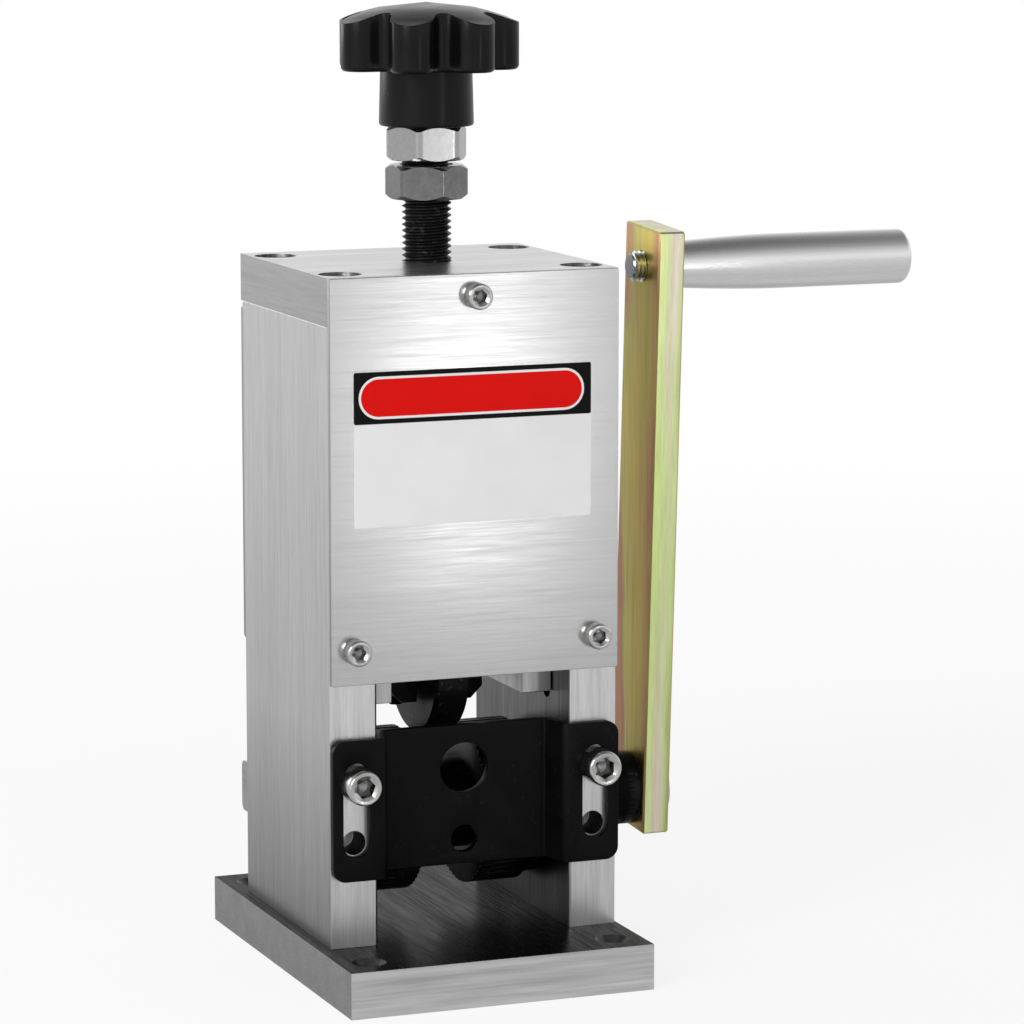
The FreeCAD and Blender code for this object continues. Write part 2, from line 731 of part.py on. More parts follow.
# Bent guide plate: two slotted flanges, flaring legs and a recessed panel with two wire holes
def make_guide():
    body = new_body("guide_plate")
    leg_back = INNER + " - guide_side_gap"
    panel_back = leg_back + " - guide_flare"
    flange_front = FRONT + " - guide_sheet"
    panel_front = flange_front + " + guide_recess"
    lean = "(guide_flare / guide_recess)"
    panel_half = "(%s + guide_sheet * %s - guide_sheet * sqrt(1 + %s ^ 2))" % (panel_back, lean, lean)
    mouth_half = "(%s + guide_flare)" % panel_half
    right = [
        (OUTER, FRONT),
        (leg_back, FRONT),
        (panel_back, panel_front + " + guide_sheet"),
    ]
    inside = [
        (panel_half, panel_front),
        (mouth_half, flange_front),
        (OUTER, flange_front),
    ]
    mirrored = [("-(%s)" % x, y) for x, y in right + inside]
    outline = sketch_on(body, "XY_Plane", GUIDE_BOTTOM)
    draw_outline(outline, right + mirrored[2::-1] + mirrored[:2:-1] + inside)
    pad(body, outline, "guide_height")
    tight = [leg_back, panel_half]
    wide = [panel_back, mouth_half]
    for size, places in (("guide_bend_radius", tight),
                         ("guide_bend_radius + guide_sheet", wide)):
        dress(body, "Fillet", size,
              lambda edge, at, along: abs(along.z) > 0.9
              and any(near(abs(at.x), spot) for spot in places))
    dress(body, "Fillet", "guide_corner",
          lambda edge, at, along: abs(along.y) > 0.9 and near(abs(at.x), OUTER))
    radius = "guide_slot_width / 2"
    low = "%s + guide_slot_rise + %s" % (GUIDE_BOTTOM, radius)
    for side in ("-", ""):
        slot = sketch_on(body, "XZ_Plane", flange_front)
        draw_upright_slot(slot, side + MID_PLATE, low, low + " + guide_slot_length - guide_slot_width",
                          radius)
        pocket(body, slot, "guide_sheet", towards=1)
    holes = sketch_on(body, "XZ_Plane", panel_front)
    draw_circle(holes, "0", GUIDE_BOTTOM + " + wire_hole_rise", "wire_hole_radius")
    draw_circle(holes, "0", GUIDE_BOTTOM + " + small_hole_rise", "small_hole_radius")
    pocket(body, holes, "guide_sheet", towards=1)
    keep("guide_plate", body)


# Sintered bushes of the drive shaft
def make_bushes():
    for name, x, facing in (("left_shaft_bush", "-" + INNER, "left"),
                            ("right_shaft_bush", INNER, "right")):
        bush = turned(name, [
            ("shaft_radius + running_gap", "0"),
            (BUSH_RADIUS, "0"),
            (BUSH_RADIUS, "bush_length"),
            ("shaft_radius + running_gap", "bush_length"),
        ], x=x, z="shaft_height", facing=facing)
        keep(name, bush)


def lean_about_shaft(piece, facing="up"):
    """Turn a piece of the crank with the arm's lean, about the shaft's axis."""
    lean = FreeCAD.Rotation(FreeCAD.Vector(1, 0, 0), value("arm_lean"))
    piece.Placement = FreeCAD.Placement(FreeCAD.Vector(), lean * FACING[facing])
    bind(piece, "Placement.Base.z", "shaft_height")
    return piece


# Drive shaft with a key slot and a nose with two flats, and the key itself
def make_shaft():
    left = "-(%s + bush_length - roller_side_gap)" % INNER
    shoulder = "(%s - hub_flange_length)" % ARM_INNER
    nose = "(%s - shaft_nose_recess)" % ARM_OUTER
    body = new_body("drive_shaft")
    revolve(body, [
        ("0", left),
        ("shaft_radius", left),
        ("shaft_radius", shoulder),
        ("shaft_nose_radius", shoulder),
        ("shaft_nose_radius", nose),
        ("0", nose),
    ])
    flats = sketch_on(body, "XY_Plane", nose)
    reach = "(1.5 * shaft_nose_radius)"
    draw_rectangle(flats, "shaft_flat_half", reach, "-" + reach, reach)
    draw_rectangle(flats, "-" + reach, "-shaft_flat_half", "-" + reach, reach)
    pocket(body, flats, nose + " - " + ARM_INNER, towards=-1)
    slot = sketch_on(body, "XZ_Plane", "0")
    draw_rectangle(slot, "-shaft_radius - key_height / 2", "-shaft_radius + key_height / 2",
                   "-key_length / 2", "key_length / 2")
    pocket(body, slot, "key_width", symmetric=True)
    tap = sketch_on(body, "XY_Plane", nose)
    draw_circle(tap, "0", "0", "crank_screw_radius")
    pocket(body, tap, "crank_screw_length", towards=-1)
    keep("drive_shaft", lean_about_shaft(body, "right"))

    key = new_body("roller_key")
    outline = sketch_on(key, "XZ_Plane")
    draw_rectangle(outline, "-shaft_radius - key_height / 2", "-shaft_radius + key_height / 2",
                   "-key_length / 2", "key_length / 2")
    pad(key, outline, "key_width", symmetric=True)
    keep("roller_key", lean_about_shaft(key, "right"))


# Drive roller: a sleeve keyed to the shaft and two notched rings, with the groove that the blade
# runs in between them
def make_roller():
    end = "(%s - roller_side_gap)" % INNER
    sleeve = new_body("roller_sleeve")
    revolve(sleeve, [
        ("shaft_radius", "-" + end),
        ("roller_groove_radius", "-" + end),
        ("roller_groove_radius", end),
        ("shaft_radius", end),
    ])
    slot = sketch_on(sleeve, "XZ_Plane", "0")
    draw_rectangle(slot, "-shaft_radius - key_height / 2", "-shaft_radius + key_height / 2",
                   "-key_length / 2", "key_length / 2")
    pocket(sleeve, slot, "key_width", symmetric=True)
    keep("roller_sleeve", lean_about_shaft(sleeve, "right"))
    rings = [make_notched_ring("right_ring", "right", end), make_notched_ring("left_ring", "left", end)]
    group("drive_roller", rings)


def make_notched_ring(name, facing, end):
    """One ring of the roller: a notched band, a relief and a plain collar."""
    body = new_body(name)
    relief_end = "(roller_band_half + roller_relief_width)"
    revolve(body, [
        ("roller_groove_radius", "roller_groove_half"),
        ("roller_radius", "roller_groove_half"),
        ("roller_radius", "roller_band_half"),
        ("roller_relief_radius", "roller_band_half"),
        ("roller_relief_radius", relief_end),
        ("roller_collar_radius", relief_end),
        ("roller_collar_radius", end),
        ("roller_groove_radius", end),
    ])
    notch = sketch_on(body, "XY_Plane", "roller_groove_half")
    draw_outline(notch, [
        ("roller_radius - knurl_depth", "0"),
        ("roller_radius + knurl_depth", "knurl_width"),
        ("roller_radius + knurl_depth", "-knurl_width"),
    ])
    first = pocket(body, notch, "roller_band_half - roller_groove_half", towards=1)
    repeat(body, first, "knurl_count", axis="N_Axis")
    return lean_about_shaft(body, facing)


# Hub between the side plate and the arm, clamped on the shaft's shoulder, and its set screw
def make_hub():
    start = "(%s + hub_gap)" % OUTER
    flange = "(%s - hub_flange_length)" % ARM_INNER
    body = new_body("crank_hub")
    revolve(body, [
        ("shaft_radius", start),
        ("hub_radius", start),
        ("hub_radius", flange),
        ("hub_flange_radius", flange),
        ("hub_flange_radius", ARM_INNER),
        ("shaft_nose_radius", ARM_INNER),
        ("shaft_nose_radius", flange),
        ("shaft_radius", flange),
    ])
    tap = sketch_on(body, "XZ_Plane")
    draw_circle(tap, "0", "hub_screw_place", "hub_screw_radius")
    pocket(body, tap, "hub_flange_radius", towards=1)
    keep("crank_hub", lean_about_shaft(body, "right"))
    screw = new_body("hub_set_screw")
    disc = sketch_on(screw, "XZ_Plane", "shaft_radius")
    draw_circle(disc, "0", "hub_screw_place", "hub_screw_radius")
    pad(screw, disc, "hub_radius - shaft_radius - hub_screw_recess", reverse=True)
    keep("hub_set_screw", lean_about_shaft(screw, "right"))


# Crank arm: a flat bar with a hole with two flats, a sunk screw seat and the grip's tapped hole
def make_arm():
    body = new_body("crank_arm")
    half = "arm_width / 2"
    outline = sketch_on(body, "YZ_Plane", ARM_INNER)
    draw_rectangle(outline, "-" + half, half, "-arm_end", "arm_reach + arm_end")
    pad(body, outline, "arm_thickness")
    dress(body, "Chamfer", "arm_edge_break",
          lambda edge, at, along: near(abs(at.y), half) or near(at.z, "-arm_end")
          or near(at.z, "arm_reach + arm_end"))
    tap = sketch_on(body, "YZ_Plane", ARM_INNER)
    draw_circle(tap, "0", "arm_reach", "stud_radius")
    pocket(body, tap, "arm_thickness", towards=1)
    nose = document.addObject("Part::Cylinder", "arm_nose_hole")
    bind(nose, "Radius", "shaft_nose_radius + running_gap")
    bind(nose, "Height", "arm_thickness")
    place(nose, x=ARM_INNER, facing="right")
    flats = document.addObject("Part::Box", "arm_nose_flats")
    bind(flats, "Length", "arm_thickness")
    bind(flats, "Width", "4 * shaft_nose_radius")
    bind(flats, "Height", "2 * (shaft_flat_half + running_gap)")
    place(flats, x=ARM_INNER, y="-2 * shaft_nose_radius", z="-(shaft_flat_half + running_gap)")
    shaped = document.addObject("Part::Common", "arm_nose_shape")
    shaped.Base = nose
    shaped.Tool = flats
    holed = document.addObject("Part::Cut", "crank_arm_holed")
    holed.Base = body
    holed.Tool = shaped
    document.recompute()
    keep("crank_arm", lean_about_shaft(holed))


# Screw and washer that hold the arm on the shaft's nose
def make_arm_fasteners():
    washer = new_body("crank_washer")
    rim = "(shaft_nose_radius + crank_washer_spread)"
    revolve(washer, [
        ("crank_screw_radius + running_gap", ARM_OUTER),
        ("crank_screw_radius + running_gap", WASHER_OUTER),
        (rim, WASHER_OUTER),
        (rim, ARM_OUTER),
    ])
    keep("crank_washer", lean_about_shaft(washer, "right"))
    screw = new_body("crank_screw")
    tip = "(%s - shaft_nose_recess - crank_screw_length + crank_screw_hole_spare)" % ARM_OUTER
    wall = WASHER_OUTER + " + crank_screw_head_wall"
    top = WASHER_OUTER + " + crank_screw_head_height"
    revolve(screw, [
        ("0", tip),
        ("crank_screw_radius", tip),
        ("crank_screw_radius", WASHER_OUTER),
        ("crank_screw_head_radius", WASHER_OUTER),
        ("crank_screw_head_radius", wall),
        ("crank_screw_head_radius - crank_screw_crown", top),
        ("0", top),
    ])
    socket = sketch_on(screw, "XY_Plane", top)
    draw_outline(socket, hexagon("crank_screw_key"))
    pocket(screw, socket, "crank_screw_key_depth", towards=-1)
    keep("crank_screw", lean_about_shaft(screw, "right"))


def stand_on_arm(piece):
    """Set a turned piece on the grip's axis, which the arm carries at its leaning end."""
    lean = FreeCAD.Rotation(FreeCAD.Vector(1, 0, 0), value("arm_lean"))
    piece.Placement = FreeCAD.Placement(FreeCAD.Vector(), lean * FACING["right"])
    bind(piece, "Placement.Base.y", "-arm_reach * sin(arm_lean * 1 deg)")
    bind(piece, "Placement.Base.z", "shaft_height + arm_reach * cos(arm_lean * 1 deg)")
    return piece


# Handle: a stud through the arm, its washer and the free turning grip
def make_handle():
    sink = "(%s - grip_sink_depth)" % GRIP_END
    stud = new_body("handle_stud")
    head_start = "(%s + spindle_head_gap)" % sink
    revolve(stud, [
        ("0", ARM_INNER + " - stud_proud"),
        ("stud_radius - stud_end_break", ARM_INNER + " - stud_proud"),
        ("stud_radius", ARM_INNER + " - stud_proud + stud_end_break"),
        ("stud_radius", WASHER_OUTER),
        ("spindle_radius", WASHER_OUTER),
        ("spindle_radius", head_start),
        ("spindle_head_radius", head_start),
        ("spindle_head_radius", head_start + " + spindle_head_height"),
        ("0", head_start + " + spindle_head_height"),
    ])
    socket = sketch_on(stud, "XY_Plane", head_start + " + spindle_head_height")
    draw_outline(socket, hexagon("stud_key"))
    pocket(stud, socket, "stud_key_depth", towards=-1)
    keep("handle_stud", stand_on_arm(stud))

    washer = new_body("handle_washer")
    revolve(washer, [
        ("stud_radius", ARM_OUTER),
        ("washer_radius", ARM_OUTER),
        ("washer_radius", WASHER_OUTER),
        ("stud_radius", WASHER_OUTER),
    ])
    keep("handle_washer", stand_on_arm(washer))

    grip = new_body("handle_grip")
    sketch = sketch_on(grip, "XZ_Plane")
    bore = "(spindle_radius + running_gap)"
    draw_grip_profile(sketch, bore, sink)
    feature = grip.newObject("PartDesign::Revolution", "grip_turned")
    feature.Profile = sketch
    feature.ReferenceAxis = (sketch, ["V_Axis"])
    feature.Angle = 360
    document.recompute()
    keep("handle_grip", stand_on_arm(grip))


def draw_grip_profile(sketch, bore, sink):
    """Half section of the grip: bored and sunk inside, with a swelling neck and a round end."""
    corners = [
        (bore, GRIP_START),
        (bore, sink),
        ("grip_sink_radius", sink),
        ("grip_sink_radius", GRIP_END),
        ("grip_radius - grip_end_round", GRIP_END),
        ("grip_radius", GRIP_END + " - grip_end_round"),
        ("grip_radius", GRIP_START + " + grip_neck_length"),
        ("grip_neck_radius", GRIP_START),
    ]
    points = [FreeCAD.Vector(value(x), value(y), 0) for x, y in corners]
    swell = (points[6] + points[7]) / 2 + FreeCAD.Vector(value("grip_neck_swell"), 0, 0)
    turn = math.sqrt(0.5) * value("grip_end_round")
    heart = FreeCAD.Vector(points[4].x, points[5].y, 0)
    shoulder = heart + FreeCAD.Vector(turn, turn, 0)
    edges = [Part.LineSegment(points[index], points[index + 1]) for index in range(4)]
    edges.append(Part.Arc(points[4], shoulder, points[5]))
    edges.append(Part.LineSegment(points[5], points[6]))
    edges.append(Part.Arc(points[6], swell, points[7]))
    edges.append(Part.LineSegment(points[7], points[0]))
    for edge in edges:
        sketch.addGeometry(edge)


YOKE_SCREW_SPOTS = [
    (side + "yoke_screw_half_x", end + "yoke_screw_half_y") for side in ("-", "") for end in ("-", "")
]
KEEPER_SCREW_SPOTS = [
    (side + "keeper_screw_x", end + "keeper_screw_y") for side in ("-", "") for end in ("-", "")
]
AXLE_SCREW_X = "-(yoke_half_width + %s) / 2" % FORK_HALF_GAP


# Carriage: an upside-down U that slides between the side plates on four rails
def make_carriage():
    body = new_body("carriage_block")
    outline = sketch_on(body, "XZ_Plane")
    draw_outline(outline, [
        ("-" + CARRIAGE_SIDE, LEG_BOTTOM),
        ("-" + LEG_INNER, LEG_BOTTOM),
        ("-" + LEG_INNER, BRIDGE_BOTTOM),
        (LEG_INNER, BRIDGE_BOTTOM),
        (LEG_INNER, LEG_BOTTOM),
        (CARRIAGE_SIDE, LEG_BOTTOM),
        (CARRIAGE_SIDE, BRIDGE_TOP),
        ("-" + CARRIAGE_SIDE, BRIDGE_TOP),
    ])
    pad(body, outline, "2 * carriage_half_depth", symmetric=True)
    for side, way in (("-", 1), ("", -1)):
        seats = sketch_on(body, "YZ_Plane", side + CARRIAGE_SIDE)
        for end in ("-", ""):
            middle = end + "rail_offset"
            draw_rectangle(seats, middle + " - rail_width / 2", middle + " + rail_width / 2",
                           RAIL_BOTTOM, BRIDGE_TOP)
        pocket(body, seats, "rail_seat", towards=way)
    room = sketch_on(body, "XY_Plane", BRIDGE_TOP)
    draw_circle(room, "0", "0", "collar_radius + collar_room")
    pocket(body, room, "collar_thickness + 2 * collar_play", towards=-1)
    shanks = sketch_on(body, "XY_Plane", BRIDGE_TOP)
    heads = sketch_on(body, "XY_Plane", BRIDGE_TOP)
    for x, y in YOKE_SCREW_SPOTS:
        draw_circle(shanks, x, y, "yoke_screw_radius")
        draw_circle(heads, x, y, "yoke_screw_head_radius + collar_room")
    pocket(body, shanks, "bridge_thickness", towards=-1)
    pocket(body, heads, "yoke_screw_sink", towards=-1)
    taps = sketch_on(body, "XY_Plane", BRIDGE_TOP)
    for x, y in KEEPER_SCREW_SPOTS:
        draw_circle(taps, x, y, "keeper_screw_radius")
    pocket(body, taps, "keeper_screw_length - keeper_thickness", towards=-1)
    keep("carriage_block", body)


def make_rails():
    """The four rails, two on each side, that run in the side plates' channels."""
    for name, side in (("left_rails", "-"), ("right_rails", "")):
        rails = []
        for number, end in enumerate(("-", ""), start=1):
            rail = document.addObject("Part::Box", "%s_%d" % (name, number))
            bind(rail, "Length", "rail_seat + carriage_side_gap + rail_reach")
            bind(rail, "Width", "rail_width")
            bind(rail, "Height", "%s - %s" % (BRIDGE_TOP, RAIL_BOTTOM))
            seat = CARRIAGE_SIDE + " - rail_seat"
            x = seat if side == "" else "-(%s + rail_reach)" % INNER
            rails.append(place(rail, x, "%srail_offset - rail_width / 2" % end, RAIL_BOTTOM))
        group(name, rails)


# Blade yoke: a crown bolted under the bridge and two arms that hold the axle
def make_yoke():
    foot = "(%s - yoke_foot)" % BLADE_Z
    body = new_body("blade_yoke")
    outline = sketch_on(body, "YZ_Plane")
    draw_outline(outline, [
        ("-yoke_half_depth", foot),
        ("yoke_half_depth", foot),
        ("yoke_half_depth", CROWN_BOTTOM),
        ("crown_half_depth", CROWN_BOTTOM),
        ("crown_half_depth", BRIDGE_BOTTOM),
        ("-crown_half_depth", BRIDGE_BOTTOM),
        ("-crown_half_depth", CROWN_BOTTOM),
        ("-yoke_half_depth", CROWN_BOTTOM),
    ])
    pad(body, outline, "2 * yoke_half_width", symmetric=True)
    dress(body, "Chamfer", "yoke_foot_chamfer",
          lambda edge, at, along: abs(along.y) > 0.9 and near(at.z, foot))
    slot = sketch_on(body, "XZ_Plane")
    draw_rectangle(slot, "-" + FORK_HALF_GAP, FORK_HALF_GAP, foot, CROWN_BOTTOM)
    pocket(body, slot, "2 * crown_half_depth", symmetric=True)
    bore = sketch_on(body, "YZ_Plane")
    draw_circle(bore, "0", BLADE_Z, "axle_radius")
    pocket(body, bore, "2 * yoke_half_width", symmetric=True)
    taps = sketch_on(body, "XY_Plane", BRIDGE_BOTTOM)
    for x, y in YOKE_SCREW_SPOTS:
        draw_circle(taps, x, y, "yoke_screw_radius")
    pocket(body, taps, "yoke_screw_bite", towards=-1)
    lock = sketch_on(body, "XY_Plane", foot)
    draw_circle(lock, AXLE_SCREW_X, "0", "axle_screw_radius")
    pocket(body, lock, "yoke_foot - axle_radius", towards=1)
    keep("blade_yoke", body)


# Blade, its bush, its axle with a lock screw, and the washers at its sides
def make_blade():
    half = "blade_width / 2"
    blade = turned("blade_wheel", [
        ("blade_bush_radius", "-" + half),
        ("blade_radius - blade_edge_break", "-" + half),
        ("blade_radius", "-%s + blade_edge_break" % half),
        ("blade_radius", "%s - blade_edge_break" % half),
        ("blade_radius - blade_edge_break", half),
        ("blade_bush_radius", half),
    ], z=BLADE_Z, facing="right")
    keep("blade_wheel", blade)
    bush = turned("blade_bush", [
        ("axle_radius + running_gap", "-" + half),
        ("blade_bush_radius", "-" + half),
        ("blade_bush_radius", half),
        ("axle_radius + running_gap", half),
    ], z=BLADE_Z, facing="right")
    keep("blade_bush", bush)
    end = "(yoke_half_width - axle_recess)"
    axle = turned("blade_axle", [
        ("0", "-" + end), ("axle_radius", "-" + end), ("axle_radius", end), ("0", end),
    ], z=BLADE_Z, facing="right")
    keep("blade_axle", axle)
    washers = []
    for number, (side, facing) in enumerate((("-", "left"), ("", "right")), start=1):
        start = "(%s - side_washer_thickness)" % FORK_HALF_GAP
        washers.append(turned("side_washer_%d" % number, [
            ("axle_radius", "0"),
            ("side_washer_radius", "0"),
            ("side_washer_radius", "side_washer_thickness"),
            ("axle_radius", "side_washer_thickness"),
        ], x=side + start, z=BLADE_Z, facing=facing))
    group("blade_washers", washers)
    foot = "(%s - yoke_foot)" % BLADE_Z
    lock = turned("axle_lock_screw", [
        ("0", "-axle_screw_proud"),
        ("axle_screw_radius - axle_screw_end_break", "-axle_screw_proud"),
        ("axle_screw_radius", "-axle_screw_proud + axle_screw_end_break"),
        ("axle_screw_radius", "yoke_foot - axle_radius"),
        ("0", "yoke_foot - axle_radius"),
    ], x=AXLE_SCREW_X, z=foot)
    keep("axle_lock_screw", lock)


# Screws of the yoke, and the two-piece keeper that holds the adjusting screw's collar
def make_carriage_fasteners():
    screws = [cap_screw("yoke_screw_%d" % number, "yoke_screw_radius",
                        "bridge_thickness - yoke_screw_sink + yoke_screw_bite",
                        "yoke_screw_head_radius", "yoke_screw_head_height",
                        (x, y, BRIDGE_TOP + " - yoke_screw_sink"), "up")
              for number, (x, y) in enumerate(YOKE_SCREW_SPOTS, start=1)]
    group("yoke_screws", screws)
    halves = []
    for number, side in enumerate(("-", ""), start=1):
        half = new_body("keeper_half_%d" % number)
        outline = sketch_on(half, "XY_Plane", BRIDGE_TOP)
        low = side + "(keeper_split / 2)"
        high = side + "keeper_half_x"
        draw_rectangle(outline, low, high, "-keeper_half_y", "keeper_half_y")
        for x, y in KEEPER_SCREW_SPOTS:
            if x.startswith("-") == (side == "-"):
                draw_circle(outline, x, y, "keeper_screw_radius")
        pad(half, outline, "keeper_thickness")
        mouth = sketch_on(half, "XY_Plane", BRIDGE_TOP)
        draw_circle(mouth, "0", "0", "journal_radius + running_gap")
        pocket(half, mouth, "keeper_thickness", towards=1)
        halves.append(half)
    group("screw_keeper", halves)
    holders = [cap_screw("keeper_screw_%d" % number, "keeper_screw_radius", "keeper_screw_length",
                         "keeper_screw_head_radius", "keeper_screw_head_height",
                         (x, y, KEEPER_TOP), "up")
               for number, (x, y) in enumerate(KEEPER_SCREW_SPOTS, start=1)]
    group("keeper_screws", holders)


# Adjusting screw with its collar, and the two lock nuts
def make_adjuster():
    floor = "(%s - collar_thickness - collar_play)" % BRIDGE_TOP
    collar_top = "(%s - collar_play)" % BRIDGE_TOP
    thread_start = "(%s + journal_rise)" % KEEPER_TOP
    top = "(%s + insert_depth)" % KNOB_BOTTOM
    screw = turned("adjusting_screw", [
        ("0", floor),
        ("collar_radius", floor),
        ("collar_radius", collar_top),
        ("journal_radius", collar_top),
        ("journal_radius", thread_start),
        ("screw_radius", thread_start),
        ("screw_radius", top),
        ("0", top),
    ])
    keep("adjusting_screw", screw)
    for name, bottom, turn in (("lower_nut", NUT_BOTTOM, "lower_nut_turn"),
                               ("upper_nut", UPPER_NUT_BOTTOM, "upper_nut_turn")):
        make_nut(name, bottom, turn)


def make_nut(name, bottom, turn):
    """A hexagon nut with chamfered corners."""
    body = new_body(name + "_blank")
    outline = sketch_on(body, "XY_Plane")
    draw_outline(outline, hexagon("nut_across_flats", turn))
    draw_circle(outline, "0", "0", "screw_radius")
    pad(body, outline, "nut_height")
    corner = "nut_across_flats / (2 * cos(30 deg))"
    flat = "nut_across_flats / 2"
    fall = "(%s - %s) * tan(30 deg)" % (corner, flat)
    limit = turned(name + "_limit", [
        ("0", "0"),
        (flat, "0"),
        (corner, fall),
        (corner, "nut_height - " + fall),
        (flat, "nut_height"),
        ("0", "nut_height"),
    ])
    nut = document.addObject("Part::Common", name)
    nut.Base = body
    nut.Tool = limit
    keep(name, place(nut, z=bottom))


# Star knob: a lobed rim under a low dome, on a slightly tapered hub, with a threaded insert
def lobe_outline(sketch):
    """Tangent arcs, outward round each lobe's tip and inward at each valley."""
    lobes = int(value("knob_lobes"))
    tip = value("knob_lobe_radius")
    reach = value("knob_radius") - tip
    valley = value("knob_valley_radius")
    half = math.pi / lobes
    # the valley's centre lies where its arc meets the valley circle and both tips' arcs
    far = (reach ** 2 - (tip - valley) ** 2) / (2 * (reach * math.cos(half) + tip - valley))
    dip = far - valley
    start = math.radians(value("knob_turn"))
    up = FreeCAD.Vector(0, 0, 1)
    for lobe in range(lobes):
        angle = start + 2 * half * lobe
        centre = FreeCAD.Vector(reach * math.cos(angle), reach * math.sin(angle), 0)
        gap = angle + half
        hollow = FreeCAD.Vector(far * math.cos(gap), far * math.sin(gap), 0)
        before = FreeCAD.Vector(far * math.cos(angle - half), far * math.sin(angle - half), 0)
        to_next = math.atan2(hollow.y - centre.y, hollow.x - centre.x)
        to_last = math.atan2(before.y - centre.y, before.x - centre.x)
        sketch.addGeometry(Part.ArcOfCircle(Part.Circle(centre, up, tip), to_last, to_next))
        following = angle + 2 * half
        other = FreeCAD.Vector(reach * math.cos(following), reach * math.sin(following), 0)
        to_other = math.atan2(other.y - hollow.y, other.x - hollow.x)
        to_self = math.atan2(centre.y - hollow.y, centre.x - hollow.x)
        sketch.addGeometry(Part.ArcOfCircle(Part.Circle(hollow, up, dip), to_other, to_self))


def make_knob():
    prism = new_body("knob_lobes_prism")
    outline = sketch_on(prism, "XY_Plane", KNOB_RIM_BOTTOM)
    lobe_outline(outline)
    pad(prism, outline, "knob_rim_height + knob_dome_height")
    ball = document.addObject("Part::Sphere", "knob_dome")
    reach = "((knob_radius ^ 2 + knob_dome_height ^ 2) / (2 * knob_dome_height))"
    bind(ball, "Radius", reach)
    place(ball, z=KNOB_TOP + " - " + reach)
    domed = document.addObject("Part::Common", "knob_domed")
    domed.Base = prism
    domed.Tool = ball
    document.recompute()
    low = value(KNOB_RIM_BOTTOM)
    high = value(KNOB_RIM_TOP)
    easing = value("knob_edge_round")
    head = document.addObject("Part::Fillet", "knob_head")
    head.Base = domed
    head.Edges = [(index, easing, easing) for index, edge in enumerate(domed.Shape.Edges, start=1)
                  if edge.BoundBox.ZMax < low + 0.01 or edge.BoundBox.ZMin > high - easing]
    document.recompute()
    hub = turned("knob_hub", [
        ("insert_radius", KNOB_BOTTOM),
        ("knob_hub_radius - knob_hub_break", KNOB_BOTTOM),
        ("knob_hub_radius", KNOB_BOTTOM + " + knob_hub_break"),
        ("knob_hub_radius - knob_hub_taper", KNOB_RIM_BOTTOM),
        ("knob_hub_radius - knob_hub_taper", KNOB_RIM_BOTTOM + " + knob_hub_overlap"),
        ("insert_radius", KNOB_RIM_BOTTOM + " + knob_hub_overlap"),
    ])
    whole = document.addObject("Part::Fuse", "knob_whole")
    whole.Base = head
    whole.Tool = hub
    socket = document.addObject("Part::Cylinder", "knob_socket")
    bind(socket, "Radius", "insert_radius")
    bind(socket, "Height", "insert_depth")
    place(socket, z=KNOB_BOTTOM)
    knob = document.addObject("Part::Cut", "star_knob")
    knob.Base = whole
    knob.Tool = socket
    document.recompute()
    keep("star_knob", knob)
    insert = turned("knob_insert", [
        ("screw_radius", KNOB_BOTTOM),
        ("insert_radius", KNOB_BOTTOM),
        ("insert_radius", KNOB_BOTTOM + " + insert_depth"),
        ("screw_radius", KNOB_BOTTOM + " + insert_depth"),
    ])
    keep("knob_insert", insert)


def check_everything():
    """Stop if an object of the document failed or a node's shape is not a sound solid."""
    document.recompute()
    for item in document.Objects:
        if "Invalid" in item.State or "Error" in item.State:
            raise RuntimeError("%s did not build" % item.Name)
    for name, piece in nodes.items():
        if piece.Shape.isNull() or not piece.Shape.isValid() or not piece.Shape.Solids:
            raise RuntimeError("%s is not a sound solid" % name)


def write_parts():
    os.makedirs("parts", exist_ok=True)
    for name, piece in nodes.items():
        piece.Shape.exportStep("parts/%s.step" % name)
        box = piece.Shape.BoundBox
        print("%-20s %d solid(s) %9.0f mm3  x %.1f..%.1f y %.1f..%.1f z %.1f..%.1f" % (
            name, len(piece.Shape.Solids), piece.Shape.Volume,
            box.XMin, box.XMax, box.YMin, box.YMax, box.ZMin, box.ZMax))


make_base()
make_side_plate("left_side_plate", "-", -1)
make_side_plate("right_side_plate", "", 1)
make_top_plate()
make_cover("front_cover", FRONT, LID_TOP, FRONT_COVER_SPOTS)
make_cover("rear_cover", BACK, PLATE_TOP, REAR_COVER_SPOTS)
make_rear_bar()
make_frame_screws()
make_bushes()
make_guide()
make_carriage()
make_rails()
make_yoke()
make_blade()
make_carriage_fasteners()
make_adjuster()
make_knob()
make_shaft()
make_roller()
make_hub()
make_arm()
make_arm_fasteners()
make_handle()
check_everything()
write_parts()
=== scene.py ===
import json
import math

import bmesh
import bpy
from mathutils import Matrix, Vector

